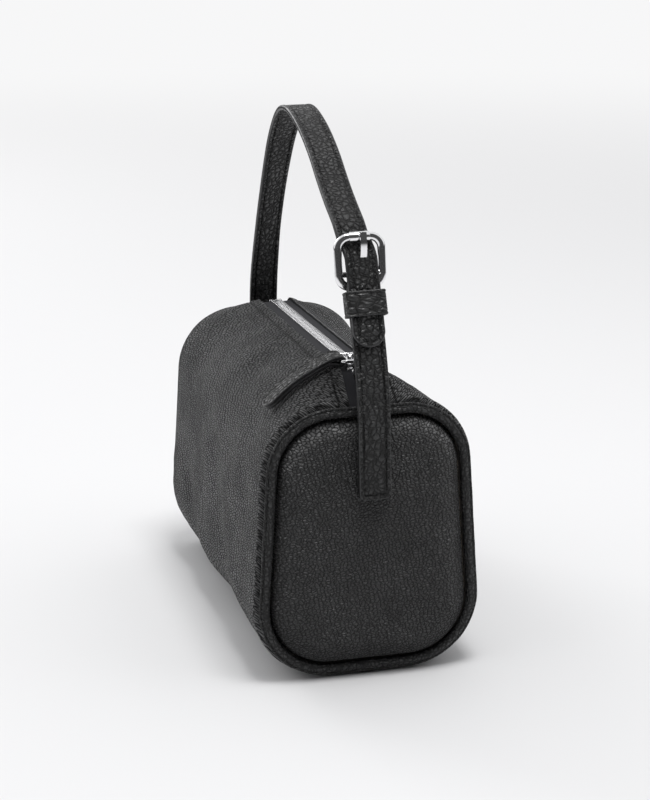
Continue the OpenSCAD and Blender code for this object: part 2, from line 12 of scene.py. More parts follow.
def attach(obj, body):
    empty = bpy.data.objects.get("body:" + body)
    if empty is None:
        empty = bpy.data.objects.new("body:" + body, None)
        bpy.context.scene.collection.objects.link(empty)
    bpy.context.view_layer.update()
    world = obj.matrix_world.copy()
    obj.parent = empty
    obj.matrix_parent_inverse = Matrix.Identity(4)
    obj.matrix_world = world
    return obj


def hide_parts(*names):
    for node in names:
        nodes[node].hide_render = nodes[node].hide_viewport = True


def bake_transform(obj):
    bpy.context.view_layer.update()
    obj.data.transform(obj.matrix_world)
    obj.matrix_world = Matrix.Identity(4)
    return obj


bl_info = {
    "name": "Buckled Shoulder Bag",
    "version": (1, 0, 0),
    "blender": (4, 5, 0),
    "location": "3D View > Sidebar > Bag",
    "description": "Builds the leather, zip, strap and buckle of a small box-shaped bag around its frame",
    "category": "Add Mesh",
}

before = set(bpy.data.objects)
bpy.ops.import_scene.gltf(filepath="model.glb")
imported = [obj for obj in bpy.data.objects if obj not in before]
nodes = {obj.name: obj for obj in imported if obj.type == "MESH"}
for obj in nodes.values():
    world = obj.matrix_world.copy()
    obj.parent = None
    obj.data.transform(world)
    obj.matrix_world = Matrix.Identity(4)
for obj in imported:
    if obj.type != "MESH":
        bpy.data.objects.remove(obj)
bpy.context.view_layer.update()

# Shape fixed by the frame. Lengths in this part are millimetres, angles are degrees.
MM = 0.001
SEAM_X = 100.0
TOP_CORNER, TOP_R = np.array([17.2, 99.1]), 26.0
BOTTOM_CORNER, BOTTOM_R = np.array([18.7, 35.3]), 28.6
SIDE_LEAN = 3.682
BODY_OFF = 6.7
LEATHER_T = 1.6
LIP_Y = 8.5
PUFF = 6.8
STRAP_W, STRAP_T = 15.0, 2.4
PIVOT_Z = 119.0
STRAP_LEAN = 1.1
ZIP_Z, ZIP_TILT = 138.851, 1.58
SLIDER_X = 73.0
BILLET_FACE = np.array([105.6, 160.0])
LEG_LEAN = 19.5
CENTRE_BAR = np.array([90.2325, 188.7174])
LEG_UP = np.array([-math.sin(math.radians(LEG_LEAN)), math.cos(math.radians(LEG_LEAN))])
LEG_OUT = np.array([LEG_UP[1], -LEG_UP[0]])

# Places of the picture's own details, in millimetres or as shares round one side of the body
LIP_END = 0.15
LIP_STITCHES = 0.085
END_MIDDLE_Z = 64.0
PAD_X = 98.2
STRAP_STITCHES, PULL_STITCHES = 2.4, 1.6
THREAD_R, PULL_THREAD_R = 0.26, 0.22
TAB_BOX = 23.5
FOLD_GAP = 12.0
LINING_GAP, LINING_T = 2.8, 0.7

# Camera and backdrop. The camera looks along -X, turned to the side, down and about its own line by these angles.
CAMERA_PLACE = (0.9731, -0.2511, 0.3941)
CAMERA_TURN = (14.79, 16.06, -0.28)
CAMERA_LENS = 94.5
BACKDROP = (0.93, 0.93, 0.935, 1.0)


# Shapes


def smoothstep(a):
    a = np.clip(a, 0, 1)
    return a * a * (3 - 2 * a)


def bell(a, width):
    return np.exp(-((a / width) ** 2))


def even_steps(start, end, step):
    return np.linspace(start, end, max(2, int(round(abs(end - start) / step)) + 1))


def waves(points, seed, length, count=14):
    """Smooth random swell from about -1 to 1 over an array of points, with waves of about that length."""
    rng = np.random.default_rng(seed)
    total = np.zeros(points.shape[:-1])
    for _ in range(count):
        way = rng.normal(size=3)
        way *= 2 * math.pi / (length * rng.uniform(0.7, 1.6)) / np.linalg.norm(way)
        total += np.cos(points @ way + rng.uniform(0, 2 * math.pi))
    return total / math.sqrt(count / 2) / 1.6


def crown_share(x):
    return smoothstep((98 - np.abs(x)) / 18)


def crown_rise(x, y):
    return (12 + 0.036 * x) * crown_share(x) * np.clip(1 - np.abs(y) / 46, 0, None) ** 1.3


def slump_share(x):
    return smoothstep((98 - np.abs(x)) / 34)


def body_tuck(x):
    return 1.4 * np.clip(1 - (SEAM_X - np.abs(x) - 2.5) / 3.5, 0, None) ** 2


def direction(angle):
    return np.stack([np.cos(np.radians(angle)), np.sin(np.radians(angle))], -1)


def full_shoulder(x, grown, t):
    r = TOP_R + grown
    angle = np.radians(90 - (90 - SIDE_LEAN) * np.clip(t - LIP_END, 0, None) / (1 - LIP_END))
    flat = t < LIP_END
    y = np.where(flat, LIP_Y + (TOP_CORNER[0] - LIP_Y) * t / LIP_END, TOP_CORNER[0] + r * np.cos(angle))
    z = TOP_CORNER[1] + np.where(flat, r, r * np.sin(angle))
    return np.stack([y, z + crown_rise(x, y)], -1)


def slack_shoulder(x, grown, t):
    lip = full_shoulder(x, grown, np.zeros_like(t))
    side = TOP_CORNER + (TOP_R + grown)[..., None] * direction(SIDE_LEAN)
    way = side - lip
    normal = np.stack([-way[..., 1], way[..., 0]], -1) / np.linalg.norm(way, axis=-1, keepdims=True)
    return lip + t[..., None] * way + 1.5 * np.sin(math.pi * t)[..., None] * normal


def body_section(x, grown, slump, share):
    """Points (y, z) of one side of the body for arrays of places, growths and shares round it, from 0 at the lip
    over 1 at the top of the side, 2 at its foot and 3 where the base turns flat, to 4 in the middle of the base."""
    k = (slump * slump_share(x))[..., None]
    t = np.clip(share, 0, 1)
    top = (1 - k) * full_shoulder(x, grown, t) + k * slack_shoulder(x, grown, t)
    reach_top = TOP_CORNER + (TOP_R + grown)[..., None] * direction(SIDE_LEAN)
    reach_low = BOTTOM_CORNER + (BOTTOM_R + grown)[..., None] * direction(SIDE_LEAN)
    down = np.clip(share - 1, 0, 1)[..., None]
    side = reach_top * (1 - down) + reach_low * down
    turn = SIDE_LEAN - (90 + SIDE_LEAN) * np.clip(share - 2, 0, 1)
    corner = BOTTOM_CORNER + (BOTTOM_R + grown)[..., None] * direction(turn)
    base_z = BOTTOM_CORNER[1] - BOTTOM_R - grown
    base = np.stack([BOTTOM_CORNER[0] * (1 - np.clip(share - 3, 0, 1)), base_z], -1)
    s = share[..., None]
    return np.where(s <= 1, top, np.where(s <= 2, side, np.where(s <= 3, corner, base)))


def rim(step):
    """Outline of the end seam as points (y, z) and outward directions, from the top middle round by +Y."""
    points, ways = [], []

    def run(start, end, way):
        for t in even_steps(0, 1, step / np.linalg.norm(end - start))[:-1]:
            points.append(start + t * (end - start))
            ways.append(way)

    def turn(centre, r, a, b):
        for angle in np.radians(even_steps(a, b, math.degrees(step / r)))[:-1]:
            way = np.array([math.cos(angle), math.sin(angle)])
            points.append(centre + r * way)
            ways.append(way)

    top, low, up = TOP_CORNER, BOTTOM_CORNER, np.array([0.0, 1.0])
    side = direction(SIDE_LEAN)
    run(np.array([0, top[1] + TOP_R]), top + TOP_R * up, up)
    turn(top, TOP_R, 90, SIDE_LEAN)
    run(top + TOP_R * side, low + BOTTOM_R * side, side)
    turn(low, BOTTOM_R, SIDE_LEAN, -90)
    run(low - BOTTOM_R * up, np.array([0, low[1] - BOTTOM_R]), -up)
    points, ways = np.array(points), np.array(ways)
    back = np.array([-1, 1])
    points = np.concatenate([points, [[0, low[1] - BOTTOM_R]], points[:0:-1] * back])
    ways = np.concatenate([ways, [[0, -1]], ways[:0:-1] * back])
    return points, ways


def smooth_route(route, steps):
    """Points on a smooth curve through a route."""
    route = np.asarray(route, float)
    ends = np.concatenate([[2 * route[0] - route[1]], route, [2 * route[-1] - route[-2]]])
    t = (np.arange(steps) / steps)[:, None]
    made = []
    for a, b, c, d in zip(ends, ends[1:], ends[2:], ends[3:]):
        made.append(0.5 * (2 * b + (c - a) * t + (2 * a - 5 * b + 4 * c - d) * t**2 + (3 * b - a - 3 * c + d) * t**3))
    return np.concatenate([*made, [route[-1]]])


def distances(route):
    """Distance along a route at each of its points."""
    return np.concatenate([[0], np.cumsum(np.linalg.norm(np.diff(route, axis=0), axis=1))])


def spaced(route, step):
    """The same line with points at even distances."""
    s = distances(route)
    at = even_steps(0, s[-1], step)
    return np.stack([np.interp(at, s, route[:, i]) for i in range(route.shape[1])], -1)


def leg_point(up, out):
    return BILLET_FACE + up * LEG_UP + out * LEG_OUT


def leaning(points):
    a = math.radians(STRAP_LEAN)
    p = np.array(points, float)
    y, z = p[..., 1].copy(), p[..., 2] - PIVOT_Z
    p[..., 1] = y * math.cos(a) - z * math.sin(a)
    p[..., 2] = PIVOT_Z + y * math.sin(a) + z * math.cos(a)
    return p


def on_zip(points, x):
    """Points drawn in the zip's own axes at a place along it."""
    a = math.radians(ZIP_TILT)
    p = np.array(points, float) + [x, 0, 0]
    return np.stack([p[..., 0] * math.cos(a) - p[..., 2] * math.sin(a), p[..., 1],
                     ZIP_Z + p[..., 0] * math.sin(a) + p[..., 2] * math.cos(a)], -1)


def in_side_view(route):
    """A route given as (x, z), stood in the plane of the strap's side view."""
    return np.insert(np.asarray(route, float), 1, 0.0, axis=1)


def unit(v):
    return v / np.linalg.norm(v, axis=-1, keepdims=True)


# Meshes


def new_object(name, data):
    obj = bpy.data.objects.new(name, data)
    bpy.context.scene.collection.objects.link(obj)
    return obj


def make_piece(name, points, faces, finishes, slot, zones=None, rim_mask=None, weld=True):
    mesh = bpy.data.meshes.new(name)
    mesh.from_pydata((np.asarray(points).reshape(-1, 3) * MM).tolist(), [], [list(map(int, f)) for f in faces])
    for key in finishes:
        mesh.materials.append(material(key))
    if zones is not None:
        mesh.polygons.foreach_set("material_index", np.asarray(zones, np.int32))
    if rim_mask is not None:
        mesh.attributes.new("rim", "FLOAT", "POINT").data.foreach_set("value", np.asarray(rim_mask, np.float32).ravel())
    if weld:
        bm = bmesh.new()
        bm.from_mesh(mesh)
        bmesh.ops.remove_doubles(bm, verts=bm.verts, dist=2e-6)
        bmesh.ops.dissolve_degenerate(bm, edges=bm.edges, dist=1e-7)
        bmesh.ops.recalc_face_normals(bm, faces=bm.faces)
        bm.to_mesh(mesh)
        bm.free()
    mesh.polygons.foreach_set("use_smooth", [True] * len(mesh.polygons))
    mesh.update()
    obj = new_object(name, mesh)
    return obj


def grid_faces(rows, columns, around=False, closed=False):
    """Quads of a grid of points; around joins the last column to the first, closed the last row to the first."""
    i = np.arange(rows if closed else rows - 1)[:, None]
    j = np.arange(columns if around else columns - 1)[None, :]
    this, below, right = i * columns, (i + 1) % rows * columns, (j + 1) % columns
    return np.stack(np.broadcast_arrays(this + j, this + right, below + right, below + j), -1).reshape(-1, 4)


def wall(outer, inner, edge=()):
    """Closed wall from an outer and an inner grid, with extra rows of points over the rim at the first column.
    Returns the points, the faces and a zone for each face: 1 on that rim and 0 elsewhere."""
    rows, n = outer.shape[:2]
    ring = np.concatenate([outer, inner[:, ::-1], *[e[:, None] for e in edge]], 1)
    size = ring.shape[1]
    faces = grid_faces(rows, size, around=True)
    zones = np.tile(np.arange(size) >= 2 * n - 1, rows - 1).astype(int)
    i = np.arange(n - 1)
    first = np.stack([i, 2 * n - 1 - i, 2 * n - 2 - i, i + 1], -1)
    last = (first + (rows - 1) * size)[:, ::-1]
    faces = np.concatenate([faces, first, last])
    zones = np.concatenate([zones, np.ones(2 * (n - 1), int)])
    caps = []
    if edge:
        loop = [0, *range(size - 1, 2 * n - 1, -1), 2 * n - 1]
        caps = [loop, [(rows - 1) * size + k for k in reversed(loop)]]
        zones = np.concatenate([zones, [1, 1]])
    return ring, list(faces) + caps, zones


class Strip:
    """Flat strip of leather along a curved line, with rounded corners at its ends and creased, painted edges."""

    def __init__(self, route, across, width, thickness, ends, crease=0.22, crease_at=1.75, turn=None, fold=None):
        self.centre = np.asarray(route, float)
        self.s = distances(self.centre)
        self.length, self.width, self.thickness = self.s[-1], width, thickness
        self.ends, self.crease, self.crease_at = ends, crease, crease_at
        self.fold = fold
        along = unit(np.gradient(self.centre, self.s, axis=0))
        across = np.broadcast_to(np.asarray(across, float), along.shape)
        across = unit(across - np.sum(across * along, -1, keepdims=True) * along)
        out = np.cross(across, along)
        if turn is not None:
            a = np.radians(turn(self.s))[:, None]
            across, out = across * np.cos(a) + out * np.sin(a), out * np.cos(a) - across * np.sin(a)
        self.across, self.out = across, out

    def waist(self, s):
        """How much narrower each side is where the strip is folded round a bar."""
        return 0 if self.fold is None else self.fold[1] * smoothstep((self.fold[2] - np.abs(s - self.fold[0])) / 3)

    def half(self, s):
        half = self.width / 2
        found = half - self.waist(s) * np.ones(np.shape(s))
        for corner, gap in zip(self.ends, (s, self.length - s)):
            cut = half - corner + np.sqrt(np.clip(corner**2 - np.clip(corner - gap, 0, None) ** 2, 0, None))
            found = np.minimum(found, cut)
        return found

    def rim_gap(self, s, v):
        half = self.width / 2
        found = half - self.waist(s) - np.abs(v)
        for corner, gap in zip(self.ends, (s, self.length - s)):
            inside = np.hypot(np.clip(corner - gap, 0, None), np.clip(np.abs(v) - (half - corner), 0, None))
            found = np.where(gap < corner, np.minimum(found, corner - inside), found)
        return np.clip(found, 0, None)

    def height(self, gap):
        edge = np.clip(gap / (0.42 * self.thickness), 0, 1)
        rounded = (1 - (1 - edge) ** 2.4) ** (1 / 2.4)
        welt = 0.12 * smoothstep((self.crease_at - gap) / 0.9)
        return self.thickness / 2 * rounded + welt - self.crease * bell(gap - self.crease_at, 0.4)

    def look(self, s, values):
        """Values given along the strip, at distances along it."""
        return np.stack([np.interp(s, self.s, values[:, i]) for i in range(3)], -1)

    def at(self, s, v, face):
        """Points on a face, 1 outer or -1 inner, at arrays of distance along and across."""
        rise = (face * self.height(self.rim_gap(s, v)))[..., None]
        return self.look(s, self.centre) + v[..., None] * self.look(s, self.across) + rise * self.look(s, self.out)

    def grid(self, step):
        near = np.array([0, 0.04, 0.12, 0.25, 0.42, 0.62, 0.85, 1.15, 1.45, 1.75, 2.0, 2.2, 2.4, 2.6, 2.8, 3.0])
        stops = [even_steps(0, self.length, step)]
        for corner, place in ((self.ends[0], lambda g: g), (self.ends[1], lambda g: self.length - g)):
            bend = corner * (1 - np.cos(np.radians(np.arange(0, 91, 7.5))))
            stops += [place(near), place(bend)]
        s = np.unique(np.round(np.clip(np.concatenate(stops), 0, self.length), 3))
        s = s[np.concatenate([[True], np.diff(s) > 0.025])]
        half = self.width / 2
        inner = even_steps(3.4, half, 1.3) if half > 3.8 else [half]
        gaps = np.append(near[near < half - 0.4], inner)
        q = 1 - gaps / half
        q = np.concatenate([q, -q[-2::-1]])
        return s, q

    def mesh(self, step=1.5):
        s, q = self.grid(step)
        v = q[None, :] * self.half(s)[:, None]
        s2 = np.broadcast_to(s[:, None], v.shape)
        points = np.concatenate([self.at(s2, v, face).reshape(-1, 3) for face in (1, -1)])
        quads = grid_faces(*v.shape)
        quads = np.concatenate([quads, quads[:, ::-1] + v.size])
        gaps = np.tile(self.rim_gap(s2, v).ravel(), 2)
        zones = (gaps[quads].mean(1) < 0.34 * self.thickness).astype(int)
        # Rim values: high along the edges, a painted highlight with some rub wear; negative in the stitch crease,
        # painted shade there.
        return points, quads, zones, bell(gaps, 0.9) - bell(gaps - self.crease_at, 0.34)

    def row(self, inset, start, end, pitch, side):
        """Evenly spaced stitch holes along one side, as (s, v)."""
        s = even_steps(start, end, pitch)
        return np.stack([s, np.full(len(s), side * (self.width / 2 - inset))], -1)

    def run(self, holes):
        """Stitch holes as points on the outer face, and the directions out of the leather there."""
        return self.at(holes[:, 0], holes[:, 1], 1), self.look(holes[:, 0], self.out)


def tip_row(centre, half, pitch, way=1):
    """Stitch holes round a half circle at a strip's end, as (s, v)."""
    arc = np.radians(even_steps(-90, 90, math.degrees(pitch / half)))
    return np.column_stack([centre + way * half * np.cos(arc), half * np.sin(arc)])


def stitches(name, runs, body, radius):
    """Thread laid between neighbouring holes. A run is a row of hole points and the directions out of the leather."""
    rings = np.array([0.03, 0.14, 0.32, 0.5, 0.68, 0.86, 0.97])
    fat = np.array([0.45, 0.85, 1, 1.04, 1, 0.85, 0.45])
    rise = np.array([-1.1, -0.25, 0.1, 0.2, 0.1, -0.25, -1.1])
    sides = 8
    turn = np.radians(np.arange(sides) * 360 / sides)[:, None]
    points, faces = [], []
    quads = grid_faces(len(rings), sides, around=True)
    for holes, outs in runs:
        for a, b, n in zip(holes, holes[1:], outs):
            along = unit(b - a)
            n = unit(n - np.dot(n, along) * along)
            across = np.cross(along, n)
            middle = a + rings[:, None] * (b - a) + rise[:, None] * radius * n
            circle = np.cos(turn) * across + 0.8 * np.sin(turn) * n
            start = len(points) * len(rings) * sides
            last = start + (len(rings) - 1) * sides
            points.append((middle[:, None] + radius * fat[:, None, None] * circle[None]).reshape(-1, 3))
            faces += (quads + start).tolist()
            faces += [list(range(start, start + sides)), list(range(last + sides - 1, last - 1, -1))]
    obj = make_piece(name, np.concatenate(points), faces, ["thread"], "trim_leather", weld=False)
    place(obj, body)


def place(obj, body):
    """Lets a piece ride with a body, or, given the pair of bodies where the strap leaves its tabs, bakes its placement
    into its mesh.
    """
    if isinstance(body, tuple):
        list(body)
        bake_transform(obj)
    else:
        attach(obj, body)


def fold_route(line, loop_centre, layer, loop_r, merge):
    """Route of a strip folded over a bar: out along one side of a line that ends at the bar, round it and back.
    All in one plane, as pairs; the line runs towards the bar."""
    line = spaced(np.asarray(line, float), 0.8)
    gap = np.linalg.norm(line - loop_centre, axis=1)
    way = unit(np.gradient(line, axis=0))
    normal = np.stack([way[:, 1], -way[:, 0]], -1)
    spread = (layer + (loop_r - layer) * smoothstep(1 - gap / merge))[:, None]
    angle = np.radians(np.arange(12, 169, 12))[:, None]
    loop = loop_centre + loop_r * (np.cos(angle) * normal[-1] + np.sin(angle) * way[-1])
    return np.concatenate([line + spread * normal, loop, (line - spread * normal)[::-1]])


# Materials


def fill(tree, node, links):
    """Links or sets a node's sockets."""
    for socket, value in links.items():
        if isinstance(value, bpy.types.NodeSocket):
            tree.links.new(value, node.inputs[socket])
        else:
            node.inputs[socket].default_value = value


def add(tree, kind, links=None, **settings):
    """Adds a shader node, sets its properties, and links or sets its sockets."""
    node = tree.nodes.new("ShaderNode" + kind)
    for key, value in settings.items():
        setattr(node, key, value)
    fill(tree, node, links or {})
    return node


def math_node(tree, operation, a, b=0.0, clamp=False):
    return add(tree, "Math", {0: a, 1: b}, operation=operation, use_clamp=clamp).outputs[0]


def remap(tree, value, low, high, to_low=0.0, to_high=1.0):
    links = {0: value, 1: low, 2: high, 3: to_low, 4: to_high}
    return add(tree, "MapRange", links, interpolation_type="SMOOTHSTEP").outputs[0]


def mix_colour(tree, factor, a, b):
    return add(tree, "Mix", {0: factor, 6: a, 7: b}, data_type="RGBA").outputs[2]


def shade(colour, share, more=0.0):
    return (*(c * share + more for c in colour), 1.0)


def scaled(tree, vector, scale):
    return add(tree, "VectorMath", {0: vector, "Scale": scale}, operation="SCALE").outputs[0]


def noise(tree, spot, scale, detail, output="Fac", **more):
    return add(tree, "TexNoise", {"Vector": spot, "Scale": scale, "Detail": detail, **more}).outputs[output]


def place_at(tree, stretch=(1, 1, 1), turn=0.0, sheet=None):
    """Place on the object in metres, turned and stretched. A sheet lays it out flat first: the end sheet across the bag
    and up, and the body sheet along the bag and down from the lips over the shoulder and the wall."""
    spot = add(tree, "TexCoord").outputs["Object"]
    if sheet:
        x, y, z = add(tree, "SeparateXYZ", {0: spot}).outputs
        down = math_node(tree, "SUBTRACT", z, math_node(tree, "ABSOLUTE", y))
        first, second = (y, z) if sheet == "end" else (x, down)
        spot = add(tree, "CombineXYZ", {0: first, 1: second}).outputs[0]
    links = {"Vector": spot, "Scale": tuple(1 / s for s in stretch), "Rotation": (0, 0, math.radians(turn))}
    return add(tree, "Mapping", links, vector_type="TEXTURE").outputs[0]


def new_group(name, inputs, outputs):
    """Empty shader node group that takes a place and named values. Returns the tree, its inputs by name and its output
    node."""
    tree = bpy.data.node_groups.new(name, "ShaderNodeTree")
    tree.interface.new_socket(name="Place", in_out="INPUT", socket_type="NodeSocketVector")
    for way, names in (("INPUT", inputs), ("OUTPUT", outputs)):
        for socket in names:
            tree.interface.new_socket(name=socket, in_out=way, socket_type="NodeSocketFloat")
    entry = tree.nodes.new("NodeGroupInput")
    return tree, {s.name: s for s in entry.outputs if s.name}, tree.nodes.new("NodeGroupOutput")


def grain_group(name):
    """Leather grain: rounded pebbles with narrow valleys between them. The sheet grain is drawn in two directions only,
    so that every pebble is whole."""
    tree, use, out = new_group(name, ["Cells per metre", "Valley", "Crest", "Wander"], ["Height", "Tops"])
    at = scaled(tree, use["Place"], use["Cells per metre"])
    drift = noise(tree, at, 0.7, 2.0, "Color")
    drift = add(tree, "VectorMath", {0: drift, 1: (0.5, 0.5, 0.5)}, operation="SUBTRACT").outputs[0]
    drift = scaled(tree, drift, use["Wander"])
    at = add(tree, "VectorMath", {0: at, 1: drift}, operation="ADD").outputs[0]
    distance = add(tree, "TexVoronoi", {"Vector": at, "Scale": 1.0, "Randomness": 0.8}, feature="DISTANCE_TO_EDGE",
                   voronoi_dimensions="2D" if name == "Sheet grain" else "3D").outputs["Distance"]
    dome = math_node(tree, "POWER", math_node(tree, "DIVIDE", distance, 0.42, clamp=True), 0.6)
    pores = math_node(tree, "MULTIPLY", noise(tree, at, 4.0, 3.0), 0.2)
    fill(tree, out, {"Height": math_node(tree, "ADD", dome, pores),
                     "Tops": remap(tree, distance, use["Valley"], use["Crest"])})
    return tree


def crease_group(name):
    """Long shallow creases drawn in one direction, broken up along their length."""
    tree, use, out = new_group(name, ["Cells per metre"], ["Creases"])
    spot = scaled(tree, use["Place"], use["Cells per metre"])
    lines = math_node(tree, "SUBTRACT", noise(tree, spot, 1.0, 2.5, Distortion=0.5), 0.5)
    lines = remap(tree, math_node(tree, "ABSOLUTE", lines), 0.0, 0.05, 1.0, 0.0)
    breaks = remap(tree, noise(tree, spot, 0.45, 1.0), 0.42, 0.62)
    fill(tree, out, {"Creases": math_node(tree, "MULTIPLY", lines, breaks)})
    return tree


def weave_group(name):
    """Plain weave of fine yarns: crossing ribs with a little unevenness."""
    tree, use, out = new_group(name, ["Yarns per metre"], ["Height", "Yarns"])
    spot = scaled(tree, use["Place"], use["Yarns per metre"])
    drift = scaled(tree, noise(tree, spot, 0.3, 1.0, "Color"), 0.8)
    moved = add(tree, "VectorMath", {0: spot, 1: drift}, operation="ADD").outputs[0]
    warp, weft = (math_node(tree, "SINE", math_node(tree, "MULTIPLY", part, math.pi))
                  for part in add(tree, "SeparateXYZ", {0: moved}).outputs[:2])
    yarns = math_node(tree, "MAXIMUM", *(
        math_node(tree, "MULTIPLY", math_node(tree, "ABSOLUTE", rib), remap(tree, over, -0.6, 0.6, 0.35, 1.0))
        for rib, over in ((warp, weft), (weft, warp))))
    fuzz = math_node(tree, "MULTIPLY", noise(tree, spot, 3.0, 2.0), 0.25)
    fill(tree, out, {"Height": math_node(tree, "ADD", yarns, fuzz), "Yarns": yarns})
    return tree


def wear_and_light_group(name):
    """Masks from the mesh's own rim values, broken up by noise: rub wear with a painted highlight where they run high,
    painted shade in the stitch creases where they are negative, and uneven handling in patches.
    """
    tree, use, out = new_group(name, ["Amount"], ["Rubbed", "Sunk", "Handling"])
    rim_value = add(tree, "Attribute", attribute_name="rim").outputs["Fac"]
    broken = remap(tree, noise(tree, use["Place"], 420.0, 3.0), 0.35, 0.7, 0.25, 1.0)
    rubbed = math_node(tree, "MULTIPLY", math_node(tree, "MAXIMUM", rim_value, 0.0), broken)
    fill(tree, out, {"Rubbed": math_node(tree, "MULTIPLY", rubbed, use["Amount"]),
                     "Sunk": math_node(tree, "MULTIPLY", rim_value, -1.0, clamp=True),
                     "Handling": remap(tree, noise(tree, use["Place"], 38.0, 3.0), 0.3, 0.7)})
    return tree


GROUPS = {"Pebbled grain": grain_group, "Sheet grain": grain_group, "Drawn creases": crease_group,
          "Cloth weave": weave_group, "Rubbed edges": wear_and_light_group}


def group(tree, name, links):
    found = bpy.data.node_groups.get(name) or GROUPS[name](name)
    return add(tree, "Group", links, node_tree=found).outputs


def start_material(name):
    made = bpy.data.materials.new(name)
    made.use_nodes = True
    tree = made.node_tree
    tree.nodes.clear()
    shader = add(tree, "BsdfPrincipled")
    return tree, shader, add(tree, "OutputMaterial", {0: shader.outputs[0]})


def coat(tree, shader, colour, rough, height, distance, strength=1.0, level=0.5):
    """Links a colour, a roughness and a bump to a shader."""
    bump = add(tree, "Bump", {"Height": height, "Strength": strength, "Distance": distance}).outputs[0]
    fill(tree, shader, {"Base Color": colour, "Roughness": rough, "Normal": bump, "Specular IOR Level": level})


def leather(name, colour, cell, depth, cell_share=1.0, rough=0.36, creases=0.3, stretch=(1, 1, 1), turn=0.0, level=0.45,
            rub_highlight_amount=0.4, tops_at=(0.02, 0.26), contrast=(0.15, 1.7), wander=0.8, rubbed=0.02, sheet=None):
    """Pebbled leather. Cell names the pebbles' width among the bag's sizes, depth is in metres and rough is the
    roughness of the pebbles' tops. The colour runs between two shares of it over the tops_at distances from a
    valley's middle: painted shade in the valleys and a painted highlight on the tops. Creases darken it further,
    painted shade in them."""
    tree, shader, _ = start_material(name)
    cells = 1 / (getattr(bpy.context.scene.bag_sizes, cell) * cell_share)
    drawn = place_at(tree, stretch, turn, sheet)
    grain = group(tree, "Sheet grain" if sheet else "Pebbled grain", {
        "Place": drawn, "Cells per metre": cells, "Valley": tops_at[0], "Crest": tops_at[1], "Wander": wander})
    wear = group(tree, "Rubbed edges", {"Place": place_at(tree), "Amount": rub_highlight_amount})
    height, tops = grain["Height"], grain["Tops"]
    if creases:
        lines = group(tree, "Drawn creases", {"Place": drawn, "Cells per metre": 0.34 * cells})["Creases"]
        height = math_node(tree, "SUBTRACT", height, math_node(tree, "MULTIPLY", lines, creases))
        # Creases darken the colour too: painted shade in them.
        tops = math_node(tree, "MULTIPLY", tops, remap(tree, lines, 0, 1, 1.0, 1 - creases))
    # Dark in the valleys and light on the tops: painted shade and painted highlight of the grain's relief.
    base = mix_colour(tree, tops, *(shade(colour, share) for share in contrast))
    base = mix_colour(tree, remap(tree, wear["Handling"], 0, 1, 0.0, 0.3), base, shade(colour, 0.7))
    # Where the rim values run high the pebble tops turn light: a painted highlight along edges and rims, with some rub
    # wear.
    bright = mix_colour(tree, grain["Tops"], shade(colour, 0.3), shade(colour, 3, rubbed))
    base = mix_colour(tree, wear["Rubbed"], base, bright)
    # Where the rim values are negative the colour goes near black: painted shade in the stitch creases.
    base = mix_colour(tree, wear["Sunk"], base, shade(colour, 0.08))
    coarse = math_node(tree, "ADD", remap(tree, tops, 0.0, 1.0, rough + 0.3, rough),
                       remap(tree, wear["Handling"], 0, 1, -0.05, 0.06))
    coat(tree, shader, base, coarse, height, depth, level=level)


def edge_paint(name, colour):
    """Painted cut edge: smooth film with brush unevenness, lighter where the rim values run high: a painted highlight
    with some rub wear.
    """
    tree, shader, _ = start_material(name)
    spot = place_at(tree)
    film = noise(tree, spot, 700.0, 2.0)
    rubbed = group(tree, "Rubbed edges", {"Place": spot, "Amount": 0.35})["Rubbed"]
    base = mix_colour(tree, rubbed, shade(colour, 1), shade(colour, 2.2, 0.05))
    coat(tree, shader, base, remap(tree, film, 0.3, 0.7, 0.28, 0.46), film, 0.00012, 0.6)


def cloth(name, colour, yarns, depth):
    """Matt woven cloth, darker in patches where it is handled."""
    tree, shader, _ = start_material(name)
    spot = place_at(tree)
    weave = group(tree, "Cloth weave", {"Place": spot, "Yarns per metre": yarns})
    handling = group(tree, "Rubbed edges", {"Place": spot, "Amount": 0.0})["Handling"]
    base = mix_colour(tree, weave["Yarns"], shade(colour, 0.45), shade(colour, 1.2))
    base = mix_colour(tree, remap(tree, handling, 0, 1, 0, 0.25), base, shade(colour, 0.75))
    coat(tree, shader, base, remap(tree, weave["Yarns"], 0, 1, 0.9, 0.7), weave["Height"], depth, level=0.0)


def metal(name, colour, rough, scratch):
    """Plated metal: fine scratches and a faint film of handling, duller in patches."""
    tree, shader, _ = start_material(name)
    hair = noise(tree, place_at(tree, (1, 1, 9)), 900.0, 3.0)
    handling = group(tree, "Rubbed edges", {"Place": place_at(tree), "Amount": 0.0})["Handling"]
    base = mix_colour(tree, handling, shade(colour, 1), shade(colour, 0.94))
    film = math_node(tree, "ADD", remap(tree, handling, 0, 1, rough, rough + 0.06),
                     remap(tree, hair, 0.4, 0.8, 0.0, 0.08))
    coat(tree, shader, base, film, hair, scratch, 0.5)
    shader.inputs["Metallic"].default_value = 1.0


def fibrous(name, colour, scale, depth, stretch=(1, 1, 1)):
    """Board, foam or cord: a coarse matt body with fibres or cells."""
    tree, shader, _ = start_material(name)
    fibres = noise(tree, place_at(tree, stretch), scale, 4.0, Roughness=0.6)
    base = mix_colour(tree, remap(tree, fibres, 0.3, 0.7), shade(colour, 0.7), shade(colour, 1))
    coat(tree, shader, base, remap(tree, fibres, 0.3, 0.7, 0.93, 0.8), fibres, depth)


def twisted_thread(name, colour):
    """Sewing thread with the bands of its twist."""
    tree, shader, _ = start_material(name)
    twist = add(tree, "TexWave", {"Vector": place_at(tree), "Scale": 900.0, "Distortion": 2.0, "Detail": 1.0},
                wave_type="BANDS", bands_direction="DIAGONAL").outputs["Fac"]
    base = mix_colour(tree, twist, shade(colour, 0.6), shade(colour, 1))
    coat(tree, shader, base, remap(tree, twist, 0, 1, 0.7, 0.5), twist, 0.0001, 0.7)
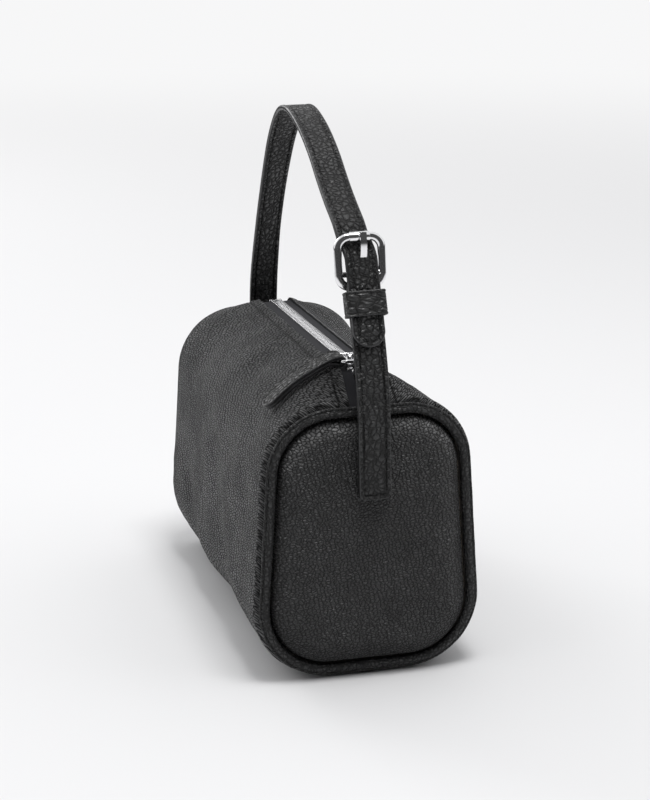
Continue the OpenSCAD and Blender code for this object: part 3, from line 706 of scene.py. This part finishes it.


# The maker, the colour and the settings of each material. The leathers' two shares of colour paint shade into the
# grain's valleys and a highlight onto its tops.
MATERIALS = {
    "body_grain": (leather, "body", dict(
        cell="body_grain", depth=0.0016, rough=0.5, creases=0.0, stretch=(0.35, 1, 1), turn=28.5, level=0.2,
        tops_at=(0.0, 0.3), contrast=(0.0, 2.7), wander=0.6, rubbed=0.15, sheet="body")),
    "end_grain": (leather, "ends", dict(
        cell="end_grain", depth=0.001, rough=0.38, stretch=(0.75, 1, 1), turn=12, rub_highlight_amount=0.9, tops_at=(0.02, 0.22),
        contrast=(0.02, 1.5), wander=1.3, rubbed=0.16, sheet="end")),
    "trim_grain": (leather, "trim", dict(cell="trim_grain", depth=0.001)),
    "loop_grain": (leather, "trim", dict(
        cell="trim_grain", depth=0.0008, stretch=(1, 0.5, 1), tops_at=(0.02, 0.22), contrast=(0.15, 1.4))),
    "piping_grain": (leather, "trim", dict(cell="trim_grain", depth=0.0006, cell_share=0.8, contrast=(0.25, 1.7))),
    "edge_paint": (edge_paint, "edges", {}),
    "thread": (twisted_thread, "thread", {}),
    "zip_cloth": (cloth, "tape", dict(yarns=1900.0, depth=0.00022)),
    "lining_cloth": (cloth, "lining", dict(yarns=1500.0, depth=0.0002)),
    "silver_metal": (metal, "silver", dict(rough=0.09, scratch=0.00001)),
    "zip_metal": (metal, "teeth", dict(rough=0.2, scratch=0.00002)),
    "fibre_board": (fibrous, "board", dict(scale=900.0, depth=0.0003, stretch=(1, 1, 0.3))),
    "foam": (fibrous, "foam", dict(scale=1400.0, depth=0.0004)),
    "cord": (fibrous, "foam", dict(scale=700.0, depth=0.0003, stretch=(1, 1, 0.4))),
}


def material(key):
    """The material of that key, made the first time it is asked for."""
    if key not in bpy.data.materials:
        maker, colour, settings = MATERIALS[key]
        maker(key, tuple(getattr(bpy.context.scene.bag_colours, colour)), **settings)
    return bpy.data.materials[key]


# Sizes and colours that a user would change


def length_property(name, description, default, low, high):
    return FloatProperty(name=name, description=description, default=default, min=low, max=high, precision=5,
                         unit="LENGTH")


def colour_property(name, description, default):
    return FloatVectorProperty(name=name, description=description, default=default, size=3, min=0.0, max=1.0,
                               subtype="COLOR")


class BagSizes(bpy.types.PropertyGroup):
    """Sizes of the bag's finishes."""

    body_grain: length_property("Body grain", "Width of a pebble in the body leather", 0.0012, 0.0005, 0.004)
    end_grain: length_property("End grain", "Width of a pebble in the end panels", 0.0014, 0.0005, 0.004)
    trim_grain: length_property("Trim grain", "Width of a pebble in the strap and piping", 0.0026, 0.0005, 0.004)
    stitch_pitch: length_property("Stitch pitch", "Distance between two needle holes", 0.0032, 0.002, 0.005)
    wall_step: length_property("Wall step", "Distance between mesh lines on the body leather", 0.0016, 0.0008, 0.005)
    far_twist: FloatProperty(name="Far leg twist", description="Turn of the strap's far leg about its own length",
                             default=math.radians(16), min=0.0, max=math.radians(25), subtype="ANGLE", unit="ROTATION")
    piping_sides: IntProperty(name="Piping sides", description="Faces round the piping", default=22, min=8, max=48)


class BagColours(bpy.types.PropertyGroup):
    """Colours of the bag's finishes."""

    # The front and back leather is given nearly three times the colour of the end and trim leather: painted light,
    # standing in for the brighter light and sheen the front takes.
    body: colour_property("Body leather", "Leather of the front and back", (0.062, 0.0622, 0.063))
    ends: colour_property("End leather", "Leather of the end panels", (0.022, 0.022, 0.0226))
    trim: colour_property("Trim leather", "Leather of the strap, pull and piping", (0.018, 0.0182, 0.0186))
    edges: colour_property("Painted edges", "Paint on the cut edges", (0.012, 0.012, 0.013))
    thread: colour_property("Thread", "Sewing thread", (0.01, 0.01, 0.011))
    tape: colour_property("Zip tape", "Woven tape beside the teeth", (0.009, 0.009, 0.01))
    lining: colour_property("Lining", "Cloth inside the bag", (0.07, 0.06, 0.052))
    silver: colour_property("Silver", "Plated buckle, ring and slider", (0.86, 0.87, 0.88))
    teeth: colour_property("Teeth", "Zip teeth", (0.95, 0.95, 0.94))
    board: colour_property("Board", "Stiffening board", (0.27, 0.19, 0.11))
    foam: colour_property("Foam", "Padding and piping cord", (0.68, 0.64, 0.56))
    floor: colour_property("Floor", "Studio floor", (0.79, 0.79, 0.795))


class BagPart:
    """Shared settings of the operators that build the bag."""

    bl_options = {"REGISTER", "UNDO"}


class BAG_OT_stage(BagPart, bpy.types.Operator):
    """Pale floor, soft light and the camera"""

    bl_idname = "bag.stage"
    bl_label = "Stage"

    def execute(self, context):
        scene = context.scene
        scene.view_settings.view_transform = "Standard"
        yaw, pitch, roll = (math.radians(a) for a in CAMERA_TURN)
        look = np.array([-math.cos(yaw) * math.cos(pitch), math.sin(yaw) * math.cos(pitch), -math.sin(pitch)])
        right = unit(np.cross(look, [0, 0, 1]))
        up = np.cross(right, look)
        right, up = (math.cos(roll) * right + math.sin(roll) * up, math.cos(roll) * up - math.sin(roll) * right)
        scene.camera = new_object("camera", bpy.data.cameras.new("camera"))
        scene.camera.data.lens, scene.camera.data.sensor_width, scene.camera.data.clip_start = CAMERA_LENS, 36, 0.05
        turn = Matrix([[right[i], up[i], -look[i]] for i in range(3)])
        scene.camera.matrix_world = Matrix.Translation(CAMERA_PLACE) @ turn.to_4x4()

        rings = np.array([0.0, 0.2, 0.5, 1, 2, 4, 8, 16, 30])[:, None]
        angles = np.radians(np.arange(48) * 7.5)
        points = np.stack([rings * np.cos(angles), rings * np.sin(angles), np.zeros((9, 48))], -1)
        floor = new_object("studio_floor", bpy.data.meshes.new("studio_floor"))
        floor.data.from_pydata(points.reshape(-1, 3).tolist(), [], grid_faces(9, 48, around=True).tolist())
        tree, shader, output = start_material("studio_floor")
        floor.data.materials.append(bpy.data.materials["studio_floor"])
        fill(tree, shader, {"Base Color": (*scene.bag_colours.floor, 1.0), "Roughness": 0.9, "Specular IOR Level": 0.1})
        rays = add(tree, "LightPath").outputs
        seen = math_node(tree, "MAXIMUM", rays["Is Camera Ray"], rays["Is Glossy Ray"])
        reach = add(tree, "VectorMath", {0: place_at(tree)}, operation="LENGTH").outputs["Value"]
        far = math_node(tree, "MULTIPLY", remap(tree, reach, 0.55, 2.2), seen)
        strength = remap(tree, rays["Is Camera Ray"], 0, 1, 0.05, 1.0)
        glow = add(tree, "Emission", {"Color": BACKDROP, "Strength": strength})
        blend = add(tree, "MixShader", {0: far, 1: shader.outputs[0], 2: glow.outputs[0]})
        tree.links.new(blend.outputs[0], output.inputs[0])

        world = bpy.data.worlds.new("studio")
        world.use_nodes = True
        scene.world = world
        tree = world.node_tree
        tree.nodes.clear()
        way = add(tree, "TexCoord").outputs["Generated"]
        toward = add(tree, "VectorMath", {0: way, 1: (0.93, -0.2, -0.3)}, operation="DOT_PRODUCT").outputs["Value"]
        sky = remap(tree, toward, 0.12, 0.42, 0.86, 0.07)
        seen = add(tree, "LightPath").outputs["Is Camera Ray"]
        soft = add(tree, "Background", {"Color": (1, 1, 1.01, 1), "Strength": sky})
        plain = add(tree, "Background", {"Color": BACKDROP, "Strength": 1.0})
        both = add(tree, "MixShader", {0: seen, 1: soft.outputs[0], 2: plain.outputs[0]})
        add(tree, "OutputWorld", {0: both.outputs[0]})

        for name, spot, aim, size, power in (("side_lamp", (-1.5, -0.8, 0.8), (0, 0, 0.1), 0.8, 8.2),
                                             ("top_lamp", (0.3, 0.1, 1.6), (0, 0, 0.08), 0.5, 12.0)):
            lamp = new_object(name, bpy.data.lights.new(name, "AREA"))
            lamp.data.size, lamp.data.energy = size, power
            turn = (Vector(aim) - Vector(spot)).to_track_quat("-Z", "Y").to_matrix()
            lamp.matrix_world = Matrix.Translation(spot) @ turn.to_4x4()
        return {"FINISHED"}


def station_list(step):
    """Places along the bag at which the body leather has a mesh line, closer together at the seams."""
    near = [2.45, 2.52, 2.65, 2.85, 3.15, 3.55, 4.0, 4.55, 5.2, 6.0, 6.9, 8.0, 9.2]
    middle = even_steps(-(SEAM_X - 10.6), SEAM_X - 10.6, step)
    return np.concatenate([[g - SEAM_X for g in near], middle, [SEAM_X - g for g in reversed(near)]])


def seam_roll(gap):
    """How far the body leather stands in or out near the seam, where it turns down to the piping."""
    return np.interp(gap, [2.45, 2.52, 2.65, 2.85, 3.15, 3.55, 4.0, 4.6, 5.4, 6.2, 7.4, 8.6, 10.5, 13],
                     [-3.1, -2.3, -1.7, -1.15, -0.7, -0.3, -0.05, 0.1, 0.12, 0.02, -0.12, -0.14, -0.04, 0])


def share_list(step):
    """Shares round one side of the body, evenly spaced, with extra lines at the lip."""
    lip = [0, 0.004, 0.012, 0.024, 0.04, 0.055, 0.068, 0.075, 0.08, 0.085, 0.09, 0.095, 0.102]
    runs = [even_steps(start, end, step / length)[:-1]
            for start, end, length in ((0.115, 1, 57), (1, 2, 64), (2, 3, 57), (3, 4, 18))]
    return np.concatenate([lip, *runs, [3.94, 4.0]])


def dents(x, share, points, swells, sag):
    """Soft dips and swells of the body leather, in millimetres outwards."""
    middle = smoothstep((88 - np.abs(x)) / 40) * smoothstep(share / 0.5) * smoothstep((3.0 - share) / 0.6)
    sagged = sag * bell(x + 92, 42) * bell(points[..., 2] - 50, 26)
    return sum(middle * height * waves(points, seed, length) for height, seed, length in swells) + sagged


# Side of the bag, slump of its shoulder, height, seed and length of its swells, and depth of its sag
BODY_SIDES = {
    "front": (-1, 0.25, ((0.9, 7, 46), (0.35, 8, 21)), 2.6),
    "back": (1, 1.0, ((0.8, 17, 50), (0.3, 18, 23)), 0.0),
}


def body_surface(side, slump, swells, sag, step):
    """Outer and inner grids of one body panel, indexed by place along the bag and share round it."""
    x, share = np.meshgrid(station_list(step), share_list(step), indexing="ij")
    gap = SEAM_X - np.abs(x)
    roll = seam_roll(gap)
    outer = body_section(x, BODY_OFF + roll - 0.5 * bell(4 - share, 0.05), slump, share)
    keep = (slump_share(x) * smoothstep((share - 0.1) / 0.2) * (share < 2.9))[..., None]
    for _ in range(10):
        soft = outer.copy()
        soft[:, 1:-1] = (outer[:, :-2] + 2 * outer[:, 1:-1] + outer[:, 2:]) / 4
        outer = outer * (1 - keep) + soft * keep
    outer = np.concatenate([x[..., None], outer], -1)
    normals = unit(np.cross(np.gradient(outer, axis=0), np.gradient(outer, axis=1)))
    swell = dents(x, share, outer, swells, sag) + 0.1 * waves(outer, 31, 6) * smoothstep((gap - 5) / 8)
    swell *= np.clip(gap - 4, 0, 10) / 10
    sewn = 0.45 * bell(share - LIP_STITCHES, 0.01) * smoothstep((gap - 3) / 2)
    outer = outer + normals * (swell - 0.275 * bell(share, 0.02) - sewn)[..., None]
    inner = body_section(x, np.minimum(BODY_OFF - LEATHER_T, BODY_OFF + roll - 1.3), slump, share)
    inner = np.concatenate([x[..., None], inner], -1) + normals * np.minimum(swell, 0)[..., None]
    for grid in (outer, inner):
        grid[..., 1] *= side
        grid[..., 2] = np.maximum(grid[..., 2], 0.02)
    return outer, inner


class BAG_OT_body(BagPart, bpy.types.Operator):
    """Front and back leather, from the lips at the zip to the seam under the base"""

    bl_idname = "bag.body"
    bl_label = "Body leather"

    def execute(self, context):
        step = context.scene.bag_sizes.wall_step / MM
        pitch = context.scene.bag_sizes.stitch_pitch / MM
        shares = share_list(step)
        for name, (side, *form) in BODY_SIDES.items():
            outer, inner = body_surface(side, *form, step)
            lip = [inner[:, 0] * (1 - t) + outer[:, 0] * t - np.array([0, side * 0.22 * math.sin(math.pi * t), 0])
                   for t in (0.2, 0.5, 0.8)]
            points, faces, zones = wall(outer, inner, lip)
            # Rim values: the lip's edge and the rim over it are lighter, a painted highlight with some rub wear; the
            # lip's stitch line goes negative, painted shade in its crease.
            mask = np.zeros(points.shape[:2])
            mask[:, :4] = [0.9, 0.7, 0.4, 0.1]
            mask[:, -3:] = 1.0
            mask[:, :len(shares)] -= bell(shares - LIP_STITCHES, 0.01)
            finishes = ["body_grain", "edge_paint"]
            obj = make_piece(name + "_leather", points, faces, finishes, "body_leather", zones, mask)
            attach(obj, "shell")
            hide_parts(name + "_panel")
            line = spaced(outer[14:-14, np.argmin(np.abs(shares - LIP_STITCHES))], pitch)
            out = np.tile([0, side * 0.15, 1.0], (len(line), 1))
            stitches(name + "_lip_stitches", [(line, out)], "shell", THREAD_R)
        return {"FINISHED"}


# Distances of the end panel's rings from the seam
END_INSETS = [-0.6, -0.2, 0.1, 0.4, 0.8, 1.3, 1.9, 2.6, 3.4, 4.3, 5.4, 6.6, 8, 9.5, 11, 12.6, 14.4, 16.4, 18.5, 20.5]


def end_dome(side, sink, edge, seed, groove=0.0):
    """Domed grid over the end outline: rings from the seam inwards, then shrinking to the middle."""
    points, ways = rim(1.7)
    rings = []
    for inset in END_INSETS:
        puff = PUFF * (1 - 0.94 * np.clip(1 - inset / 14, 0, 1) ** 2.5)
        x = SEAM_X + puff - sink - groove * bell(max(inset + 0.1, 0), 1.2) - 2.0 * (inset < -0.3)
        rings.append(np.insert(points - (inset + edge) * ways, 0, x, axis=1))
    centre = np.array([rings[-1][0, 0], 0.0, END_MIDDLE_Z])
    inward = np.linspace(1, 0, 15)[1:-1]
    grid = np.array(rings + [centre + (rings[-1] - centre) * f for f in inward])
    depth = np.array(END_INSETS + [24.0] * len(inward))[:, None]
    loose = smoothstep((depth - 1.5) / 6)
    tab = bell(grid[..., 1], 11) * smoothstep((grid[..., 2] - 78) / 6)
    swell = 0.45 * waves(grid, seed, 30) + 0.16 * waves(grid, seed + 1, 11) - 0.25
    grid[..., 0] += loose * swell * (1 - tab) - 0.15 * tab * loose
    grid[..., 0] *= side
    return grid


def capped(grid, behind=None):
    """Points and faces of a grid of rings, with a fan inside its last ring and one to a point behind its first."""
    rows, n = grid.shape[:2]
    points = [*grid.reshape(-1, 3), grid[-1].mean(0)]
    faces = grid_faces(rows, n, around=True).tolist()
    faces += [[(rows - 1) * n + i, (rows - 1) * n + (i + 1) % n, rows * n] for i in range(n)]
    if behind is not None:
        points.append(behind)
        faces += [[(i + 1) % n, i, rows * n + 1] for i in range(n)]
    return points, faces


class BAG_OT_ends(BagPart, bpy.types.Operator):
    """Padded end panels and the padding under them"""

    bl_idname = "bag.ends"
    bl_label = "End panels"

    def execute(self, context):
        for name, side, seed in (("right", 1, 41), ("left", -1, 51)):
            outer = end_dome(side, 0.0, 0.2, seed, 3.0)
            # Rim values on the upper part of the panel, in a ring just inside the seam: painted highlight where light
            # from above catches the pebbles.
            upper = smoothstep((outer[..., 2] - 92) / 26)
            rubbed = [0, 0, 0, 0, 0, 0.1, 0.5, 1, 1, 1, 0.75, 0.4, 0.15]
            ring = np.array(rubbed + [0] * (len(outer) - len(rubbed)))[:, None]
            mask = np.append((upper * ring).ravel(), 0.0)
            obj = make_piece("end_leather_" + name, *capped(outer), ["end_grain"], "body_leather", rim_mask=mask)
            if sum(p.normal.x * side for p in obj.data.polygons) < 0:
                obj.data.flip_normals()
            thick = obj.modifiers.new("thickness", "SOLIDIFY")
            thick.thickness, thick.offset = 1.1 * MM, -1
            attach(obj, "shell")
            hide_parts("end_panel_" + name)
            pad = end_dome(side, 1.7, 2.2, seed)[1:]
            back = pad[:1].copy()
            back[..., 0] = side * PAD_X
            points, faces = capped(np.concatenate([back, pad]), [side * PAD_X, 0, END_MIDDLE_Z])
            foam = make_piece("end_padding_" + name, points, faces, ["foam"], "foam")
            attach(foam, "shell")
            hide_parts("end_foam_" + name)
        return {"FINISHED"}


PIPING_MIDDLE = np.array([2.2, 0.2])


def piping_profile(sides):
    """Cross-section of the piping as [outward, along the bag] points: the round bead, a crease and a narrow ridge."""
    bead = np.radians(even_steps(22, 255, 233 / sides))
    ridge = np.radians(even_steps(-60, 152, 20))
    bead = np.column_stack([2.15 + 2.1 * np.cos(bead), 0.2 + 2.1 * np.sin(bead)])
    ridge = np.column_stack([4.48 + 0.7 * np.cos(ridge), 0.72 + 0.7 * np.sin(ridge)])
    return np.concatenate([bead, [[2.6, -2.5], [4.2, -2.0]], ridge, [[3.98, 0.7]]])


class BAG_OT_piping(BagPart, bpy.types.Operator):
    """Leather-covered piping round each end seam"""

    bl_idname = "bag.piping"
    bl_label = "Piping"

    def execute(self, context):
        profile = piping_profile(context.scene.bag_sizes.piping_sides)
        points, ways = rim(1.0)
        n, sides = len(points), len(profile)
        along = np.arange(n) / n
        for name, side, seed in (("right", 1, 61), ("left", -1, 71)):
            uneven = waves(np.column_stack([points, np.zeros(n)]), seed, 9) * 0.025
            join = 0.06 * bell(along - 0.5, 0.00875)
            swell = (profile - PIPING_MIDDLE)[None] * (1 + uneven + join)[:, None, None]
            x = SEAM_X + PIPING_MIDDLE[1] + swell[..., 1]
            yz = points[:, None] + (PIPING_MIDDLE[0] + swell[..., :1]) * ways[:, None]
            grid = np.concatenate([side * x[..., None], yz], -1)
            faces = grid_faces(n, sides, around=True, closed=True)
            obj = make_piece("piping_leather_" + name, grid, faces, ["piping_grain"], "trim_leather")
            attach(obj, "shell")
            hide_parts("piping_" + name)
        return {"FINISHED"}


class BAG_OT_zip(BagPart, bpy.types.Operator):
    """Woven zip tapes, teeth, stops, slider and ring"""

    bl_idname = "bag.zip"
    bl_label = "Zip"

    def execute(self, context):
        x = np.concatenate([even_steps(-97.4, 66, 1.6), even_steps(67, 97.4, 1.0)])
        edge = (1.4 + 1.6 * np.clip((x - SLIDER_X + 1) / 5, 0, 1))[:, None]
        grown = BODY_OFF - LEATHER_T - 0.08 - body_tuck(x)
        lip = full_shoulder(x, grown, np.zeros_like(x))
        far = full_shoulder(x, grown, np.full_like(x, 0.075))
        share = np.array([0, 0.06, 0.14, 0.24, 0.36, 0.48, 0.6, 0.72, 0.84, 1.0])
        y = edge + share * (LIP_Y - edge)
        z = lip[:, 1:2] - 0.35 * np.sin(math.pi * share) + 0.25 * bell(share - 0.06, 0.06)
        top = np.stack([np.broadcast_to(x[:, None], y.shape), y, z], -1)
        top = np.concatenate([top, np.column_stack([x, far])[:, None]], 1)
        for name, (side, *_) in BODY_SIDES.items():
            points, faces, _ = wall(top * [1, side, 1], (top - [0, 0, 0.62]) * [1, side, 1])
            obj = make_piece("zip_cloth_" + name, points, faces, ["zip_cloth"], "zip_cloth")
            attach(obj, "shell")
            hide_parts("zip_tape_" + name)
        for node in ("zip_teeth_front", "zip_teeth_back", "zip_stops"):
            finish_metal(node, "zip_metal", 0.12)
        for node in ("zip_slider", "pull_ring"):
            finish_metal(node, "silver_metal", 0.22)
        return {"FINISHED"}


def dress(node, key):
    """Gives a piece of the frame its material."""
    obj = nodes[node]
    obj.data.materials.clear()
    obj.data.materials.append(material(key))
    return obj


def finish_metal(node, key, bevel):
    """Gives a metal piece of the frame its finish, smooth curves and softened edges."""
    obj = dress(node, key)
    obj.data.polygons.foreach_set("use_smooth", [True] * len(obj.data.polygons))
    if obj.data.has_custom_normals:
        obj.data.normals_split_custom_set([(0, 0, 0)] * len(obj.data.loops))
    obj.modifiers.new("weld", "WELD").merge_threshold = 1e-5
    soft = obj.modifiers.new("soft_edges", "BEVEL")
    soft.width, soft.segments, soft.limit_method = bevel * MM, 2, "ANGLE"
    soft.angle_limit = math.radians(38)
    soft.use_clamp_overlap = True
    obj.modifiers.new("crisp_edges", "EDGE_SPLIT").split_angle = math.radians(42)


def near_strap():
    """The near tab and buckle strap: one strip folded over the buckle's centre bar, both ends sewn to the end panel."""
    centre = [[107.97, 88.0], [107.98, 98], [108.05, 108], [108.4, 119], [108.3, 128], [107.3, 138], [105.35, 148]]
    centre += [leg_point(u, -3.5) for u in (0, 8, 16, 25.2)]
    line = smooth_route(centre + [CENTRE_BAR + 0.6 * LEG_OUT - 1.2 * LEG_UP, CENTRE_BAR], 6)
    route = fold_route(line, CENTRE_BAR, 0.58, 1.95, 9.0)
    route = leaning(in_side_view(route[::-1]))
    fold = (distances(route)[-1] / 2, 1.6, 9)
    return Strip(route, (0, 1, 0), STRAP_W, 1.12, (3.0, 3.0), crease=0.4, crease_at=2.3, fold=fold)


def long_strap():
    """The long strap, from its round tip behind the keeper over the buckle and the top to the far tab."""
    route = [leg_point(u, -STRAP_T / 2) for u in (-1.5, 4, 12, 20, 26, 30.2, 33.6)]
    route += [[91.5, 196.1], [88.1, 200.2], [84, 204.2], [79, 209.2], [65, 216.6], [48.5, 225.2], [32, 234], [6, 244.4],
              [-15, 248.4], [-33, 244.4], [-52, 229.5], [-68, 210], [-81, 191], [-91.5, 173], [-99, 157], [-104, 144],
              [-107.2, 130], [-108.3, 119], [-108.1, 106], [-108.0, 88]]
    line = spaced(smooth_route(route, 8), 0.8)
    points = leaning(in_side_view(line))
    above = smoothstep((line[:, 1] - 196) / 12) * smoothstep((line[:, 0] - 10) / 60)
    points[:, 1] -= 1.9 * above
    length = distances(points)[-1]
    twist = math.degrees(bpy.context.scene.bag_sizes.far_twist)

    def turn(s):
        return twist * smoothstep((s - length + 190) / 80) * smoothstep((length - 45 - s) / 50)

    return Strip(points, (0, 1, 0), STRAP_W, STRAP_T, (STRAP_W / 2, 3.0), crease=0.5, crease_at=2.5, turn=turn)


def leather_strip(name, strip, grain="trim_grain", step=1.5):
    points, faces, zones, mask = strip.mesh(step)
    return make_piece(name, points, faces, [grain, "edge_paint"], "trim_leather", zones, mask)


def strap_runs(strip, start, end, rows, pitch):
    """Stitch holes along both sides of a strap from start to end, and in rows across its sewn tab."""
    half = STRAP_W / 2 - STRAP_STITCHES
    lines = [strip.row(STRAP_STITCHES, start, end, pitch, side) for side in (-1, 1)]
    lines += [np.column_stack([np.full(5, at), np.linspace(-half, half, 5)]) for at in rows]
    return [strip.run(holes) for holes in lines]


class BAG_OT_straps(BagPart, bpy.types.Operator):
    """Near strap with its tab and the long strap, with their stitching"""

    bl_idname = "bag.straps"
    bl_label = "Strap"

    def execute(self, context):
        pitch = context.scene.bag_sizes.stitch_pitch / MM
        sewn = ("shell", "strap")
        near = near_strap()
        obj = leather_strip("near_strap_leather", near)
        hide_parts("strap_tab_right", "buckle_strap")
        place(obj, sewn)
        first = STRAP_STITCHES + 0.2
        runs = strap_runs(near, first, near.length / 2 - FOLD_GAP, (first, TAB_BOX), pitch)
        stitches("near_strap_stitches", runs, sewn, THREAD_R)

        far = long_strap()
        obj = leather_strip("long_strap_leather", far)
        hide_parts("strap_tab_left", "long_strap")
        place(obj, sewn)
        last = far.length - first
        runs = strap_runs(far, STRAP_W / 2, last, (last, far.length - TAB_BOX), pitch)
        runs.insert(2, far.run(tip_row(STRAP_W / 2, STRAP_W / 2 - STRAP_STITCHES, pitch, -1)))
        stitches("long_strap_stitches", runs, sewn, THREAD_R)
        return {"FINISHED"}


class BAG_OT_keeper(BagPart, bpy.types.Operator):
    """Leather loop that holds the strap's tip"""

    bl_idname = "bag.keeper"
    bl_label = "Keeper"

    def execute(self, context):
        middle = leg_point(18.3, -(STRAP_T + 2.2) / 2)
        half_y, half_out, bend = 8.7, 3.3, 1.1
        outline = [[-half_out, 0.0]]
        for out, across, start in ((-1, 1, 180), (1, 1, 90), (1, -1, 0), (-1, -1, -90)):
            centre = np.array([out * (half_out - bend), across * (half_y - bend)])
            outline += list(centre + bend * direction(np.arange(start, start - 91, -15)))
        outline.append([-half_out, 0.0])
        outline = spaced(np.array(outline), 0.45)
        route = np.array([[middle[0] + o * LEG_OUT[0], y, middle[1] + o * LEG_OUT[1]] for o, y in outline])
        up = leaning(np.array([[LEG_UP[0], 0, PIVOT_Z + LEG_UP[1]]]))[0] - [0, 0, PIVOT_Z]
        loop = Strip(leaning(route), -up, 11.5, 1.4, (0.5, 0.5), crease=0.14, crease_at=1.6)
        obj = leather_strip("keeper_leather", loop, "loop_grain", 0.6)
        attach(obj, "keeper")
        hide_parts("strap_keeper")
        return {"FINISHED"}


class BAG_OT_buckle(BagPart, bpy.types.Operator):
    """Plated buckle frame, roller and prong"""

    bl_idname = "bag.buckle"
    bl_label = "Buckle"

    def execute(self, context):
        for node, bevel in (("buckle_frame", 0.8), ("buckle_roller", 0.3), ("buckle_prong", 0.35)):
            finish_metal(node, "silver_metal", bevel)
        return {"FINISHED"}


class BAG_OT_pull(BagPart, bpy.types.Operator):
    """Leather pull folded over the ring, with its stitching"""

    bl_idname = "bag.pull"
    bl_label = "Zip pull"

    def execute(self, context):
        line = smooth_route([[-35.3, -20.2], [-24, -10.3], [-14, -4.2], [-5.5, -0.3], [0, 0]], 8)
        route = fold_route(line, np.array([0.0, 0.0]), 0.7, 1.68, 7.5)
        flat = np.stack([np.zeros(len(route)), route[:, 0] - 7.0, route[:, 1] + 4.5], -1)
        strip = Strip(on_zip(flat, SLIDER_X), (1, 0, 0), 12.6, 1.4, (6.3, 6.3), crease=0.22, crease_at=1.7)
        obj = leather_strip("pull_leather", strip, step=0.9)
        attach(obj, "pull_tab")
        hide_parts("pull_tab")
        pitch = context.scene.bag_sizes.stitch_pitch / MM
        start, tip = strip.length / 2 + 8, strip.length - strip.width / 2
        holes = np.concatenate([strip.row(PULL_STITCHES, start, tip, pitch, -1)[:-1],
                                tip_row(tip, strip.width / 2 - PULL_STITCHES, pitch),
                                strip.row(PULL_STITCHES, tip, start, pitch, 1)[1:]])
        near, far = strip.at(strip.length * np.array([0.25, 0.75]), np.zeros(2), 1)[:, 2]
        if near > far:
            holes[:, 0] = strip.length - holes[:, 0]
        stitches("pull_stitches", [strip.run(holes)], "pull_tab", PULL_THREAD_R)
        return {"FINISHED"}


class BAG_OT_inside(BagPart, bpy.types.Operator):
    """Lining, boards, backing patches and piping cords"""

    bl_idname = "bag.inside"
    bl_label = "Inside"

    def execute(self, context):
        finishes = {
            "lining_cloth": ["end_lining_right", "end_lining_left"],
            "fibre_board": ["base_board", "end_board_right", "end_board_left", "tab_backing_right", "tab_backing_left"],
            "cord": ["piping_cord_right", "piping_cord_left"],
        }
        for key, names in finishes.items():
            for name in names:
                dress(name, key)
        x, share = np.meshgrid(even_steps(-95.5, 95.5, 3), np.append(0.1, share_list(3.0)[7:]), indexing="ij")
        loose = 0.35 * np.clip(waves(np.stack([x, share * 60, 0 * x], -1), 81, 26), -1, 0.1)
        for name, (side, slump, *_) in BODY_SIDES.items():
            grids = []
            for gap in (LINING_GAP, LINING_GAP + LINING_T):
                yz = body_section(x, BODY_OFF - LEATHER_T - gap - body_tuck(x) + loose, slump, share)
                grids.append(np.concatenate([x[..., None], yz * [side, 1]], -1))
            points, faces, _ = wall(*grids)
            obj = make_piece("lining_" + name, points, faces, ["lining_cloth"], "lining_cloth")
            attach(obj, "shell")
            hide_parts("body_lining")
        return {"FINISHED"}


class BAG_PT_panel(bpy.types.Panel):
    """Lists the bag's sizes, colours and pieces in the sidebar"""

    bl_idname = "BAG_PT_panel"
    bl_label = "Buckled Shoulder Bag"
    bl_space_type = "VIEW_3D"
    bl_region_type = "UI"
    bl_category = "Bag"

    def draw(self, context):
        for settings in (context.scene.bag_sizes, context.scene.bag_colours):
            box = self.layout.box()
            for name in settings.bl_rna.properties.keys():
                if name not in ("rna_type", "name"):
                    box.prop(settings, name)
        for operator in OPERATORS:
            self.layout.operator(operator.bl_idname)


OPERATORS = (BAG_OT_stage, BAG_OT_body, BAG_OT_ends, BAG_OT_piping, BAG_OT_zip, BAG_OT_straps, BAG_OT_keeper,
             BAG_OT_buckle, BAG_OT_pull, BAG_OT_inside)
CLASSES = (BagSizes, BagColours, *OPERATORS, BAG_PT_panel)


def register():
    for cls in CLASSES:
        bpy.utils.register_class(cls)
    bpy.types.Scene.bag_sizes = PointerProperty(type=BagSizes)
    bpy.types.Scene.bag_colours = PointerProperty(type=BagColours)


def unregister():
    del bpy.types.Scene.bag_colours
    del bpy.types.Scene.bag_sizes
    for cls in reversed(CLASSES):
        bpy.utils.unregister_class(cls)


def main():
    register()
    bpy.ops.bag.stage()
    bpy.ops.bag.body()
    bpy.ops.bag.ends()
    bpy.ops.bag.piping()
    bpy.ops.bag.zip()
    bpy.ops.bag.straps()
    bpy.ops.bag.keeper()
    bpy.ops.bag.buckle()
    bpy.ops.bag.pull()
    bpy.ops.bag.inside()


if __name__ == "__main__":
    main()
